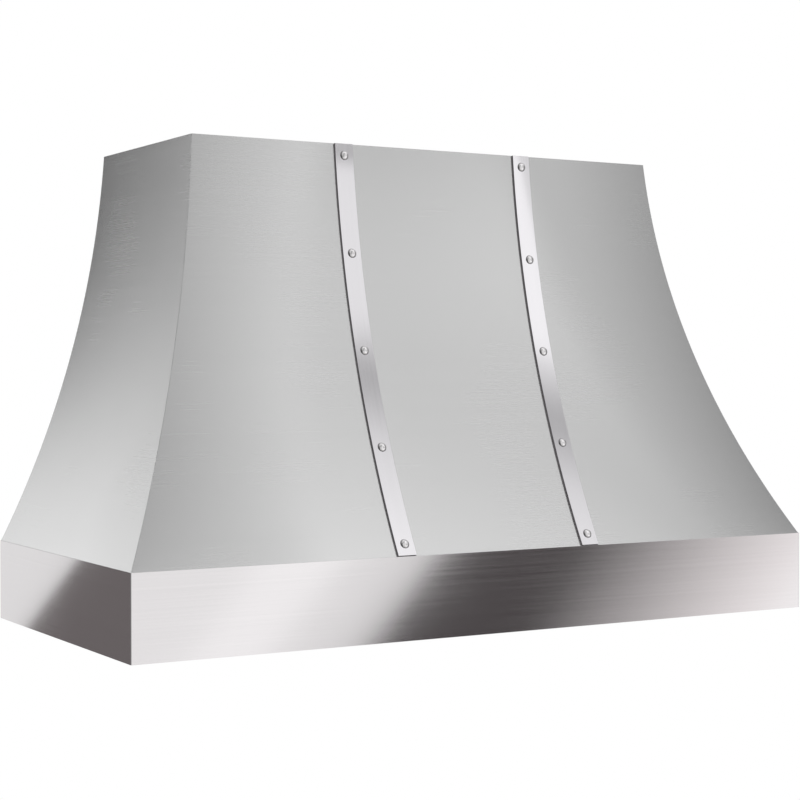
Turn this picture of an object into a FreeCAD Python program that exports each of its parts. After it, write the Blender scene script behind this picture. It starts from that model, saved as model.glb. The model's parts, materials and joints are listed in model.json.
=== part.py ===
import FreeCAD, Part
import os
import re

import Sketcher

# Wall mount range hood, 48 inches wide: a flared stainless canopy with two riveted straps and a
# polished band, a liner with three baffle filters under it, and a blower, motor and damper inside.
# The wall is the plane Y = 0, the front faces -Y, and Z = 0 is the bottom edge of the band.

# Driving dimensions, in millimetres and degrees
SIZES = {
    # Canopy shell
    "hood_width": 1219.2,
    "hood_depth": 558.8,
    "hood_height": 762.0,
    "top_width": 856.6,
    "top_depth": 359.0,
    "flare_radius": 1650.0,
    "panel_sheet": 1.2,
    "rim_flange": 20.0,
    # Polished band round the bottom
    "band_height": 127.0,
    "band_sheet": 1.5,
    "band_bend": 2.0,
    "band_lip": 22.0,
    # Straps and their rivets
    "strap_width": 31.75,
    "strap_thickness": 3.2,
    "strap_spacing": 337.0,
    "rivet_head": 15.0,
    "rivet_rise": 5.0,
    "rivet_shank": 6.0,
    "rivet_tail": 9.0,
    "rivet_tail_rise": 2.0,
    "rivet_margin": 19.05,
    # Back, wall rails and roof
    "back_flange": 18.0,
    "rail_height": 50.0,
    "rail_thickness": 3.0,
    "rail_margin": 24.0,
    "wall_hole": 8.0,
    "wall_hole_spacing": 406.4,
    "lower_hole_height": 190.0,
    "upper_hole_drop": 92.0,
    "roof_recess": 45.0,
    "roof_sheet": 1.2,
    # Duct collar and damper
    "collar_diameter": 252.0,
    "collar_sheet": 1.0,
    "collar_flange": 18.0,
    "collar_rivet": 3.2,
    "collar_rivet_head": 6.4,
    "collar_rivet_rise": 1.2,
    "collar_rivet_count": 8,
    "damper_height": 15.0,
    "damper_pin": 5.0,
    "damper_sheet": 1.0,
    "damper_gap": 1.5,
    "knuckle_diameter": 8.0,
    "knuckle_length": 24.0,
    "knuckle_inset": 18.0,
    "hinge_clearance": 0.05,
    # Liner
    "liner_sheet": 1.2,
    "liner_height": 24.0,
    "liner_side_strip": 45.0,
    "liner_front_strip": 105.0,
    "bay_wall_height": 100.0,
    "bay_gap": 4.0,
    # Baffle filters
    "filter_tilt": 10.0,
    "filter_gap": 2.0,
    "filter_thickness": 38.0,
    "filter_sheet": 1.0,
    "filter_lip": 11.0,
    "filter_seat": 12.0,
    "filter_pivot_back": 75.0,
    "filter_pivot_height": 34.0,
    "baffle_width": 34.0,
    "baffle_depth": 15.0,
    "baffle_sheet": 0.8,
    "baffle_pairs": 8,
    "handle_wire": 5.0,
    "handle_width": 80.0,
    "handle_drop": 24.0,
    "handle_bend": 9.0,
    "handle_spacing": 190.0,
    "clip_width": 16.0,
    "clip_length": 28.0,
    "clip_sheet": 0.8,
    "clip_gap": 0.4,
    "clip_tab": 8.0,
    "clip_inset": 30.0,
    # Grease trough behind the filters
    "trough_sheet": 1.2,
    "trough_bottom": 12.0,
    "trough_back_height": 62.0,
    "trough_bead": 1.5,
    # Lamps
    "lamp_hole": 60.0,
    "lamp_bezel": 74.0,
    "lamp_bezel_rise": 3.0,
    "lamp_lens": 56.0,
    "lamp_lens_thickness": 3.0,
    "lamp_body": 58.0,
    "lamp_body_height": 34.0,
    "lamp_wall": 1.5,
    "lamp_spacing": 430.0,
    # Controls
    "control_spacing": 76.0,
    "control_centre": 215.0,
    "knob_diameter": 34.0,
    "knob_height": 17.0,
    "knob_gap": 1.5,
    "knob_grip": 3.0,
    "knob_top_edge": 1.5,
    "spindle_diameter": 6.0,
    "spindle_in_knob": 11.0,
    "switch_width": 38.0,
    "switch_height": 26.0,
    "switch_bush": 11.0,
    # Blower
    "impeller_diameter": 200.0,
    "impeller_width": 168.0,
    "impeller_gap": 10.0,
    "blade_depth": 17.0,
    "blade_count": 24,
    "blade_sheet": 1.2,
    "blade_curve": 13.0,
    "impeller_plate": 2.0,
    "scroll_step": 16.0,
    "scroll_sheet": 1.2,
    "scroll_side_gap": 8.0,
    "scroll_outlet_height": 150.0,
    "tongue_radius": 12.0,
    "outlet_flange": 14.0,
    "inlet_diameter": 156.0,
    "inlet_ring_lip": 8.0,
    "inlet_ring_flange": 14.0,
    "inlet_ring_sheet": 1.2,
    "transition_height": 60.0,
    "motor_diameter": 106.0,
    "motor_edge": 6.0,
    "shaft_diameter": 10.0,
    "hub_diameter": 26.0,
    "hub_length": 12.0,
    "bracket_sheet": 2.5,
    "bracket_arm": 16.0,
    # Junction box
    "knockout_diameter": 22.2,
    "box_length": 104.0,
    "box_width": 66.0,
    "box_height": 46.0,
    "box_sheet": 1.2,
    "box_across": 320.0,
    # How far a cut runs past what it cuts
    "overrun": 8.0,
}

# Sizes worked out from the driving ones: each is a formula over their names
DERIVED = {
    "half_width": "hood_width / 2",
    "half_top": "top_width / 2",
    "skin_half": "half_width - band_sheet",
    "skin_depth": "hood_depth - band_sheet",
    "inner_half": "skin_half - panel_sheet",
    "inner_depth": "skin_depth - panel_sheet",
    "flare_height": "hood_height - band_height",
    # Centre of the side panels' arc, which lies outside the hood
    "side_chord": "sqrt((skin_half - half_top) ^ 2 + flare_height ^ 2)",
    "side_rise": "sqrt(flare_radius ^ 2 - (side_chord / 2) ^ 2)",
    "side_centre_out": "(skin_half + half_top) / 2 + side_rise * flare_height / side_chord",
    "side_centre_up": "(hood_height + band_height) / 2"
    " + side_rise * (skin_half - half_top) / side_chord",
    # Centre of the front panel's arc
    "front_chord": "sqrt((skin_depth - top_depth) ^ 2 + flare_height ^ 2)",
    "front_rise": "sqrt(flare_radius ^ 2 - (front_chord / 2) ^ 2)",
    "front_centre_out": "(skin_depth + top_depth) / 2 + front_rise * flare_height / front_chord",
    "front_centre_up": "(hood_height + band_height) / 2"
    " + front_rise * (skin_depth - top_depth) / front_chord",
    # Row of rivets along that arc, from the foot up
    "foot_angle": "atan((band_height - front_centre_up) / (front_centre_out - skin_depth)) / 1 deg",
    "strap_turn": "2 * asin(front_chord / (2 * flare_radius)) / 1 deg",
    "margin_turn": "2 * asin(rivet_margin / (2 * flare_radius)) / 1 deg",
    "rivet_turn": "foot_angle + margin_turn - 90",
    "upper_hole_height": "hood_height - upper_hole_drop",
    "roof_height": "hood_height - roof_recess",
    "roof_top": "roof_height + roof_sheet",
    "collar_back": "top_depth / 2",
    "collar_height": "hood_height - roof_top",
    "collar_radius": "collar_diameter / 2",
    "collar_bore": "collar_radius - collar_sheet",
    # Filter bay
    "bay_half": "inner_half - liner_side_strip",
    "bay_front": "inner_depth - liner_front_strip",
    "filter_sweep": "bay_front - filter_pivot_back - bay_gap",
    "filter_reach": "sqrt(filter_sweep ^ 2 - (filter_thickness + trough_bead) ^ 2)",
    "bay_wall_top": "liner_height + liner_sheet + bay_wall_height",
    "bay_front_head": "filter_pivot_back + bay_gap"
    " + sqrt(filter_sweep ^ 2 - (bay_wall_top - filter_pivot_height) ^ 2)",
    "strip_centre": "inner_depth - liner_front_strip / 2",
    "tilt_sine": "sin(filter_tilt * 1 deg)",
    "tilt_cosine": "cos(filter_tilt * 1 deg)",
    # Blower
    "impeller_radius": "impeller_diameter / 2",
    "scroll_start": "impeller_radius + impeller_gap",
    "scroll_half": "impeller_width / 2 + scroll_side_gap",
    "scroll_side": "scroll_half + scroll_sheet",
    "scroll_outlet": "scroll_start + 3 * scroll_step",
    "tongue_up": "sqrt((scroll_start + tongue_radius) ^ 2 - tongue_radius ^ 2)",
    "blower_height": "roof_height - transition_height - scroll_outlet_height",
    "blower_back": "collar_back + scroll_outlet / 2",
    "motor_start": "hub_length",
}

FILTERS = {"left": -1, "centre": 0, "right": 1}
LAMPS = {"left": -1, "centre": 0, "right": 1}
RIVETS_IN_STRAP = 5

document = FreeCAD.newDocument("RangeHood")
sheet = document.addObject("Spreadsheet::Sheet", "Sizes")
for row, (name, size) in enumerate(SIZES.items(), start=1):
    sheet.set(f"A{row}", name)
    sheet.set(f"B{row}", str(size))
    sheet.setAlias(f"B{row}", name)
document.recompute()

WORD = re.compile(r"[a-z][a-z_0-9]*")
pieces = []


def linked(formula):
    """Puts the object that holds each named size in front of its name."""
    def with_owner(match):
        word = match.group()
        if word in SIZES:
            return "Sizes." + word
        if word in DERIVED:
            return "Derived." + word
        return word
    return WORD.sub(with_owner, formula)


def bind(thing, name, formula):
    thing.setExpression(name, linked(formula))


derived = document.addObject("App::VarSet", "Derived")
for name, formula in DERIVED.items():
    derived.addProperty("App::PropertyFloat", name)
    bind(derived, name, formula)
document.recompute()


def number(formula):
    """The value that a formula has now, for a sketch's first geometry."""
    return float(derived.evalExpression(linked(formula)))


# Sketches and features


def new_body(label):
    body = document.addObject("PartDesign::Body", label)
    body.Label = label
    pieces.append(body)
    return body


def place(body, across="0", back="0", up="0"):
    """Sets a body's own origin: back is measured forwards from the wall."""
    bind(body, "Placement.Base.x", across)
    bind(body, "Placement.Base.y", f"-({back})")
    bind(body, "Placement.Base.z", up)


def origin_of(body, role):
    return next(part for part in body.Origin.OriginFeatures if part.Role == role)


def new_sketch(body, plane, lift="0", shift=("0", "0"), turn="0"):
    """A sketch on one of the body's origin planes, lifted along its normal, shifted and turned in it."""
    sketch = body.newObject("Sketcher::SketchObject", body.Name + "_sketch")
    sketch.AttachmentSupport = [(origin_of(body, plane), "")]
    sketch.MapMode = "FlatFace"
    bind(sketch, "AttachmentOffset.Base.x", shift[0])
    bind(sketch, "AttachmentOffset.Base.y", shift[1])
    bind(sketch, "AttachmentOffset.Base.z", lift)
    bind(sketch, "AttachmentOffset.Rotation.Angle", turn)
    return sketch


def arc_between(start, end, radius, turn):
    """The shorter arc from start to end that turns left or right, as a counter-clockwise circle arc."""
    chord = end - start
    half = chord.Length / 2
    left = FreeCAD.Vector(-chord.y, chord.x, 0).normalize()
    side = 1 if turn == "left" else -1
    centre = (start + end) / 2 + left * side * max(radius * radius - half * half, 0) ** 0.5
    circle = Part.Circle(centre, FreeCAD.Vector(0, 0, 1), radius)
    if turn == "left":
        return Part.ArcOfCircle(circle, circle.parameter(start), circle.parameter(end))
    return Part.ArcOfCircle(circle, circle.parameter(end), circle.parameter(start))


def outline(sketch, corners):
    """Closes a loop through corners (across, up) or (across, up, radius, turn), where the last two
    say that the edge leaving this corner is an arc. Every coordinate and radius is a bound formula."""
    first = sketch.GeometryCount
    places = [FreeCAD.Vector(number(corner[0]), number(corner[1]), 0) for corner in corners]
    ends = []
    for index, corner in enumerate(corners):
        start = places[index]
        end = places[(index + 1) % len(corners)]
        if len(corner) == 4:
            sketch.addGeometry(arc_between(start, end, number(corner[2]), corner[3]))
            ends.append((1, 2) if corner[3] == "left" else (2, 1))
        else:
            sketch.addGeometry(Part.LineSegment(start, end))
            ends.append((1, 2))
    for index, corner in enumerate(corners):
        edge = first + index
        before = first + (index - 1) % len(corners)
        start_point = ends[index][0]
        end_point = ends[index - 1][1]
        sketch.addConstraint(Sketcher.Constraint("Coincident", before, end_point, edge, start_point))
        for kind, formula, value in (
            ("DistanceX", corner[0], places[index].x),
            ("DistanceY", corner[1], places[index].y),
        ):
            at = sketch.addConstraint(Sketcher.Constraint(kind, edge, start_point, value))
            bind(sketch, f"Constraints[{at}]", formula)
        if len(corner) == 4:
            at = sketch.addConstraint(Sketcher.Constraint("Radius", edge, number(corner[2])))
            bind(sketch, f"Constraints[{at}]", corner[2])


def box_outline(sketch, left, low, right, high):
    outline(sketch, [(left, low), (right, low), (right, high), (left, high)])


def circle(sketch, radius, across="0", up="0"):
    centre = FreeCAD.Vector(number(across), number(up), 0)
    edge = sketch.addGeometry(Part.Circle(centre, FreeCAD.Vector(0, 0, 1), number(radius)))
    for kind, formula, value in (("DistanceX", across, centre.x), ("DistanceY", up, centre.y)):
        at = sketch.addConstraint(Sketcher.Constraint(kind, edge, 3, value))
        bind(sketch, f"Constraints[{at}]", formula)
    at = sketch.addConstraint(Sketcher.Constraint("Radius", edge, number(radius)))
    bind(sketch, f"Constraints[{at}]", radius)


def pad(body, sketch, length, side="One side", reverse=False):
    feature = body.newObject("PartDesign::Pad", body.Name + "_pad")
    feature.Profile = sketch
    feature.SideType = side
    feature.Reversed = reverse
    bind(feature, "Length", length)
    document.recompute()
    return feature


def remove(body, kind, sketch, setup):
    """Adds a feature that takes material away, and stops if it takes none."""
    before = body.Shape.Volume
    feature = body.newObject("PartDesign::" + kind, body.Name + "_" + kind.lower())
    feature.Profile = sketch
    setup(feature)
    document.recompute()
    if not body.Shape.Volume < before:
        raise RuntimeError(f"{feature.Name} cuts nothing from {body.Label}")
    return feature


def pocket_through(body, sketch):
    def both_ways(feature):
        feature.Type = "ThroughAll"
        feature.SideType = "Symmetric"
    return remove(body, "Pocket", sketch, both_ways)


def pocket(body, sketch, depth, side="One side", reverse=False):
    def to_depth(feature):
        feature.SideType = side
        feature.Reversed = reverse
        bind(feature, "Length", depth)
    return remove(body, "Pocket", sketch, to_depth)


def revolve(body, sketch, axis):
    feature = body.newObject("PartDesign::Revolution", body.Name + "_revolution")
    feature.Profile = sketch
    feature.ReferenceAxis = (sketch, [axis])
    document.recompute()
    return feature


def groove(body, sketch, axis):
    def about_axis(feature):
        feature.ReferenceAxis = (sketch, [axis])
    return remove(body, "Groove", sketch, about_axis)


def polar_pattern(body, features, axis, turn, count):
    pattern = body.newObject("PartDesign::PolarPattern", body.Name + "_ring")
    pattern.Originals = features
    pattern.Axis = axis
    bind(pattern, "Angle", turn)
    bind(pattern, "Occurrences", count)
    body.Tip = pattern
    document.recompute()
    return pattern


def row_pattern(body, features, role, spacing, count):
    pattern = body.newObject("PartDesign::LinearPattern", body.Name + "_row")
    pattern.Originals = features
    pattern.Direction = (origin_of(body, role), [""])
    pattern.Mode = "Spacing"
    bind(pattern, "Offset", spacing)
    bind(pattern, "Occurrences", count)
    body.Tip = pattern
    document.recompute()
    return pattern


def mirror(body, features, plane):
    pattern = body.newObject("PartDesign::Mirrored", body.Name + "_mirror")
    pattern.Originals = features
    pattern.MirrorPlane = (origin_of(body, plane), [""])
    body.Tip = pattern
    document.recompute()
    return pattern


# The canopy's two flared faces, as formulas at a height and at a depth inside the outer skin


def side_reach(height, inset="0"):
    return f"(side_centre_out - sqrt((flare_radius + {inset}) ^ 2 - ({height} - side_centre_up) ^ 2))"


def front_reach(height, inset="0"):
    return f"(front_centre_out - sqrt((flare_radius + {inset}) ^ 2 - ({height} - front_centre_up) ^ 2))"


def side_knee(inset="0"):
    """Height at which the flare meets the straight skirt behind the band."""
    across = f"(side_centre_out - skin_half + {inset})"
    return f"(side_centre_up - sqrt((flare_radius + {inset}) ^ 2 - {across} ^ 2))"


def front_knee(inset="0"):
    across = f"(front_centre_out - skin_depth + {inset})"
    return f"(front_centre_up - sqrt((flare_radius + {inset}) ^ 2 - {across} ^ 2))"


def side_sheet_outline(sketch, sign, outer, inner, low, high):
    """One side wall's section between two depths in the skin, from low to high."""
    rise, fall = ("right", "left") if sign > 0 else ("left", "right")
    outline(sketch, [
        (f"{sign} * (skin_half - {outer})", low),
        (f"{sign} * (skin_half - {outer})", side_knee(outer), f"flare_radius + {outer}", rise),
        (f"{sign} * {side_reach(high, outer)}", high),
        (f"{sign} * {side_reach(high, inner)}", high, f"flare_radius + {inner}", fall),
        (f"{sign} * (skin_half - {inner})", side_knee(inner)),
        (f"{sign} * (skin_half - {inner})", low),
    ])


def trim_to_sides(body, inset):
    """Cuts away what lies outside the side walls' faces at this depth in the skin."""
    sketch = new_sketch(body, "XZ_Plane")
    top = "(hood_height + overrun)"
    for sign, turn in ((1, "right"), (-1, "left")):
        outline(sketch, [
            (f"{sign} * (skin_half - {inset})", "-overrun"),
            (f"{sign} * (skin_half - {inset})", side_knee(inset), f"flare_radius + {inset}", turn),
            (f"{sign} * {side_reach(top, inset)}", top),
            (f"{sign} * (half_width + overrun)", top),
            (f"{sign} * (half_width + overrun)", "-overrun"),
        ])
    pocket_through(body, sketch)


def trim_to_front(body, inset):
    """Cuts away what lies in front of the front wall's face at this depth in the skin."""
    sketch = new_sketch(body, "YZ_Plane")
    top = "(hood_height + overrun)"
    outline(sketch, [
        (f"-(skin_depth - {inset})", "-overrun"),
        (f"-(skin_depth - {inset})", front_knee(inset), f"flare_radius + {inset}", "left"),
        (f"-{front_reach(top, inset)}", top),
        ("-(hood_depth + overrun)", top),
        ("-(hood_depth + overrun)", "-overrun"),
    ])
    pocket_through(body, sketch)


# Straps and rivets


def rivet_sketch(body, across="0", out="0"):
    """A sketch in the plane of a strap's rivets. Its origin lies this far out from the front arc's
    centre, towards the lowest rivet, and its V axis runs on through that rivet."""
    return new_sketch(
        body,
        "YZ_Plane",
        lift=across,
        shift=(
            f"-(front_centre_out + {out} * sin(rivet_turn * 1 deg))",
            f"front_centre_up + {out} * cos(rivet_turn * 1 deg)",
        ),
        turn="rivet_turn",
    )


def drill_rivet_holes(body, across="0"):
    """Five holes square to the front arc, one for each rivet of a strap."""
    sketch = rivet_sketch(body, across)
    box_outline(
        sketch,
        "0",
        "flare_radius - strap_thickness - overrun",
        "rivet_shank / 2",
        "flare_radius + panel_sheet + overrun",
    )
    hole = groove(body, sketch, "V_Axis")
    polar_pattern(body, [hole], (sketch, ["N_Axis"]), "strap_turn - 2 * margin_turn", str(RIVETS_IN_STRAP))


def strap(side, sign):
    """Polished flat bar that follows the front arc from the rim down to the band."""
    body = new_body(f"strap_{side}")
    place(body, across=f"{sign} * strap_spacing / 2")
    sketch = new_sketch(body, "YZ_Plane")
    face = "flare_radius - strap_thickness"
    outline(sketch, [
        ("-top_depth", "hood_height", "flare_radius", "right"),
        ("-skin_depth", "band_height"),
        (f"-{front_reach('band_height', '-strap_thickness')}", "band_height", face, "left"),
        (f"-{front_reach('hood_height', '-strap_thickness')}", "hood_height"),
    ])
    pad(body, sketch, "strap_width", side="Symmetric")
    drill_rivet_holes(body)


def strap_rivets(side, sign):
    """Five domed rivets with their shanks and the tails closed behind the front panel."""
    body = new_body(f"strap_rivets_{side}")
    place(body, across=f"{sign} * strap_spacing / 2")
    arc_centre = rivet_sketch(body)
    sketch = rivet_sketch(body, out="flare_radius")
    # The head's rim touches the hollow face of the strap, so its flat stands a hair off it
    seat = "-(strap_thickness + (rivet_head / 2) ^ 2 / (2 * flare_radius))"
    dome = "((rivet_head / 2) ^ 2 + rivet_rise ^ 2) / (2 * rivet_rise)"
    outline(sketch, [
        ("0", f"{seat} - rivet_rise", dome, "left"),
        ("rivet_head / 2", seat),
        ("rivet_shank / 2", seat),
        ("rivet_shank / 2", "panel_sheet"),
        ("rivet_tail / 2", "panel_sheet"),
        ("rivet_tail / 2", "panel_sheet + rivet_tail_rise"),
        ("0", "panel_sheet + rivet_tail_rise"),
    ])
    rivet = revolve(body, sketch, "V_Axis")
    turn = "strap_turn - 2 * margin_turn"
    polar_pattern(body, [rivet], (arc_centre, ["N_Axis"]), turn, str(RIVETS_IN_STRAP))


# Canopy shell


def canopy_front_panel():
    """Front sheet, rolled to the flare, with a rim folded back at the top and a skirt behind the band."""
    body = new_body("canopy_front_panel")
    sketch = new_sketch(body, "YZ_Plane")
    under_rim = "(hood_height - panel_sheet)"
    outline(sketch, [
        ("-skin_depth", "band_sheet"),
        ("-skin_depth", "band_height", "flare_radius", "left"),
        ("-top_depth", "hood_height"),
        ("-(top_depth - rim_flange)", "hood_height"),
        ("-(top_depth - rim_flange)", under_rim),
        (f"-{front_reach(under_rim, 'panel_sheet')}", under_rim, "flare_radius + panel_sheet", "right"),
        ("-inner_depth", front_knee("panel_sheet")),
        ("-inner_depth", "band_sheet"),
    ])
    pad(body, sketch, "hood_width", side="Symmetric")
    trim_to_sides(body, "panel_sheet")
    for sign in (-1, 1):
        drill_rivet_holes(body, f"{sign} * strap_spacing / 2")


def canopy_side_panel(side, sign):
    """Side sheet, rolled to the flare, whose front edge closes the mitre with the front sheet."""
    body = new_body(f"canopy_{side}_panel")
    rise, fall = ("right", "left") if sign > 0 else ("left", "right")
    under_rim = "(hood_height - panel_sheet)"
    sketch = new_sketch(body, "XZ_Plane")
    outline(sketch, [
        (f"{sign} * skin_half", "band_sheet"),
        (f"{sign} * skin_half", "band_height", "flare_radius", rise),
        (f"{sign} * half_top", "hood_height"),
        (f"{sign} * (half_top - rim_flange)", "hood_height"),
        (f"{sign} * (half_top - rim_flange)", under_rim),
        (f"{sign} * {side_reach(under_rim, 'panel_sheet')}", under_rim, "flare_radius + panel_sheet", fall),
        (f"{sign} * inner_half", side_knee("panel_sheet")),
        (f"{sign} * inner_half", "band_sheet"),
    ])
    pad(body, sketch, "hood_depth")
    trim_to_front(body, "0")
    # The front panel's rim runs right across, so this one stops behind it
    sketch = new_sketch(body, "XY_Plane", lift="hood_height")
    box_outline(
        sketch,
        f"{sign} * (half_top - rim_flange - overrun)",
        "-(top_depth + overrun)",
        f"{sign} * {side_reach(under_rim, 'panel_sheet')}",
        "-(top_depth - rim_flange)",
    )
    pocket(body, sketch, "panel_sheet")


def band_opening(body, lift, inset):
    """A plan inside the band at this inset, square at the corners and open to the wall."""
    sketch = new_sketch(body, "XY_Plane", lift=lift)
    half = f"(half_width - {inset})"
    box_outline(sketch, f"-{half}", f"-(hood_depth - {inset})", half, "overrun")
    return sketch


def apron_band():
    """Polished sheet bent round three sides, with a lip folded inwards under the shell."""
    body = new_body("apron_band")
    sketch = new_sketch(body, "XY_Plane")
    outline(sketch, [
        ("-(half_width - band_bend)", "-hood_depth"),
        ("half_width - band_bend", "-hood_depth", "band_bend", "left"),
        ("half_width", "-(hood_depth - band_bend)"),
        ("half_width", "0"),
        ("-half_width", "0"),
        ("-half_width", "-(hood_depth - band_bend)", "band_bend", "left"),
    ])
    pad(body, sketch, "band_height")
    pocket(body, band_opening(body, "band_sheet", "band_sheet"), "band_height", reverse=True)
    pocket_through(body, band_opening(body, "0", "band_lip"))


def back_panel():
    """Flat sheet against the wall, with flanges along the flared sides and four holes for wall screws."""
    body = new_body("back_panel")
    foot = "(half_width - band_lip)"
    top = "(hood_height - panel_sheet)"
    sketch = new_sketch(body, "XZ_Plane")
    outline(sketch, [
        (f"-{foot}", "0"),
        (foot, "0"),
        (foot, "band_sheet"),
        ("inner_half", "band_sheet"),
        ("inner_half", side_knee("panel_sheet"), "flare_radius + panel_sheet", "right"),
        (side_reach(top, "panel_sheet"), top),
        (f"-{side_reach(top, 'panel_sheet')}", top, "flare_radius + panel_sheet", "right"),
        ("-inner_half", side_knee("panel_sheet")),
        ("-inner_half", "band_sheet"),
        (f"-{foot}", "band_sheet"),
    ])
    pad(body, sketch, "panel_sheet")
    sketch = new_sketch(body, "XZ_Plane")
    for sign in (-1, 1):
        side_sheet_outline(
            sketch,
            sign,
            "panel_sheet",
            "(2 * panel_sheet)",
            "(liner_height + bay_wall_height)",
            "(roof_height - roof_sheet)",
        )
    pad(body, sketch, "back_flange")
    drill_wall_holes(body, ("lower_hole_height", "upper_hole_height"))


def drill_wall_holes(body, heights):
    sketch = new_sketch(body, "XZ_Plane")
    for height in heights:
        for sign in (-1, 1):
            circle(sketch, "wall_hole / 2", f"{sign} * wall_hole_spacing / 2", height)
    pocket_through(body, sketch)


def wall_rail(label, height):
    """Flat steel bar welded inside the back panel, where the wall screws pull."""
    body = new_body(label)
    half = f"({side_reach(height, 'panel_sheet')} - rail_margin)"
    sketch = new_sketch(body, "XZ_Plane", lift="panel_sheet")
    box_outline(sketch, f"-{half}", f"{height} - rail_height / 2", half, f"{height} + rail_height / 2")
    pad(body, sketch, "rail_thickness")
    drill_wall_holes(body, (height,))


def roof_panel():
    """Tray let into the canopy's top, with flanges up all four walls and holes for duct and cable."""
    body = new_body("roof_panel")
    top = "(hood_height - panel_sheet)"
    inner = "(panel_sheet + roof_sheet)"
    sketch = new_sketch(body, "YZ_Plane")
    outline(sketch, [
        ("-panel_sheet", "roof_height"),
        ("-panel_sheet", top),
        (f"-{inner}", top),
        (f"-{inner}", "roof_top"),
        (f"-{front_reach('roof_top', inner)}", "roof_top", f"flare_radius + {inner}", "left"),
        (f"-{front_reach(top, inner)}", top),
        (f"-{front_reach(top, 'panel_sheet')}", top, "flare_radius + panel_sheet", "right"),
        (f"-{front_reach('roof_height', 'panel_sheet')}", "roof_height"),
    ])
    pad(body, sketch, "hood_width", side="Symmetric")
    trim_to_sides(body, "panel_sheet")
    sketch = new_sketch(body, "XZ_Plane", lift="panel_sheet")
    for sign, rise, fall in ((1, "right", "left"), (-1, "left", "right")):
        foot = f"{sign} * {side_reach('roof_height', 'panel_sheet')}"
        outline(sketch, [
            (foot, "roof_height", "flare_radius + panel_sheet", rise),
            (f"{sign} * {side_reach(top, 'panel_sheet')}", top),
            (f"{sign} * {side_reach(top, inner)}", top, f"flare_radius + {inner}", fall),
            (f"{sign} * {side_reach('roof_height', inner)}", "roof_height"),
        ])
    pad(body, sketch, "hood_depth")
    trim_to_front(body, "panel_sheet")
    # Notches that clear the tails of the straps' top rivets
    sketch = new_sketch(body, "XZ_Plane", lift="collar_back")
    for sign in (-1, 1):
        middle = f"{sign} * strap_spacing / 2"
        box_outline(
            sketch,
            f"{middle} - rivet_tail",
            "hood_height - 2 * rivet_margin",
            f"{middle} + rivet_tail",
            "hood_height",
        )
    pocket(body, sketch, "top_depth", reverse=True)
    sketch = new_sketch(body, "XY_Plane")
    circle(sketch, "collar_bore", "0", "-collar_back")
    circle(sketch, "knockout_diameter / 2", "-box_across", "-collar_back")
    pocket_through(body, sketch)
    drill_collar_holes(body, "collar_back")


# Duct collar and back-draught damper


def duct_collar():
    """Round spigot for the duct, spun from sheet with a flange that sits on the roof tray."""
    body = new_body("duct_collar")
    place(body, back="collar_back", up="roof_top")
    sketch = new_sketch(body, "XZ_Plane")
    outline(sketch, [
        ("collar_bore", "0"),
        ("collar_radius + collar_flange", "0"),
        ("collar_radius + collar_flange", "collar_sheet"),
        ("collar_radius", "collar_sheet"),
        ("collar_radius", "collar_height"),
        ("collar_bore", "collar_height"),
    ])
    revolve(body, sketch, "V_Axis")
    sketch = new_sketch(body, "YZ_Plane")
    circle(sketch, "damper_pin / 2", "0", "damper_height")
    pocket_through(body, sketch)
    drill_collar_holes(body)


def drill_collar_holes(body, forward="0"):
    """A ring of holes for the collar's rivets, centred this far in front of the body's origin."""
    sketch = new_sketch(body, "XY_Plane", shift=("0", f"-{forward}"))
    circle(sketch, "collar_rivet / 2", "collar_radius + collar_flange / 2")
    hole = pocket_through(body, sketch)
    polar_pattern(body, [hole], (sketch, ["N_Axis"]), "360", "collar_rivet_count")


def collar_rivets():
    """Blind rivets through the collar's flange and the roof tray."""
    body = new_body("collar_rivets")
    place(body, back="collar_back", up="roof_top")
    sketch = new_sketch(body, "XZ_Plane", shift=("collar_radius + collar_flange / 2", "0"))
    tail = "(collar_rivet + collar_rivet_head) / 4"
    dome = "((collar_rivet_head / 2) ^ 2 + collar_rivet_rise ^ 2) / (2 * collar_rivet_rise)"
    outline(sketch, [
        ("0", "-(roof_sheet + collar_rivet_rise)"),
        (tail, "-(roof_sheet + collar_rivet_rise)"),
        (tail, "-roof_sheet"),
        ("collar_rivet / 2", "-roof_sheet"),
        ("collar_rivet / 2", "collar_sheet"),
        ("collar_rivet_head / 2", "collar_sheet", dome, "left"),
        ("0", "collar_sheet + collar_rivet_rise"),
    ])
    rivet = revolve(body, sketch, "V_Axis")
    polar_pattern(body, [rivet], (origin_of(body, "Z_Axis"), [""]), "360", "collar_rivet_count")


def damper_pin():
    """Rod across the collar that both damper flaps hang on."""
    body = new_body("damper_pin")
    place(body, back="collar_back", up="roof_top + damper_height")
    sketch = new_sketch(body, "YZ_Plane")
    circle(sketch, "damper_pin / 2")
    pad(body, sketch, "2 * collar_radius", side="Symmetric")


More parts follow.
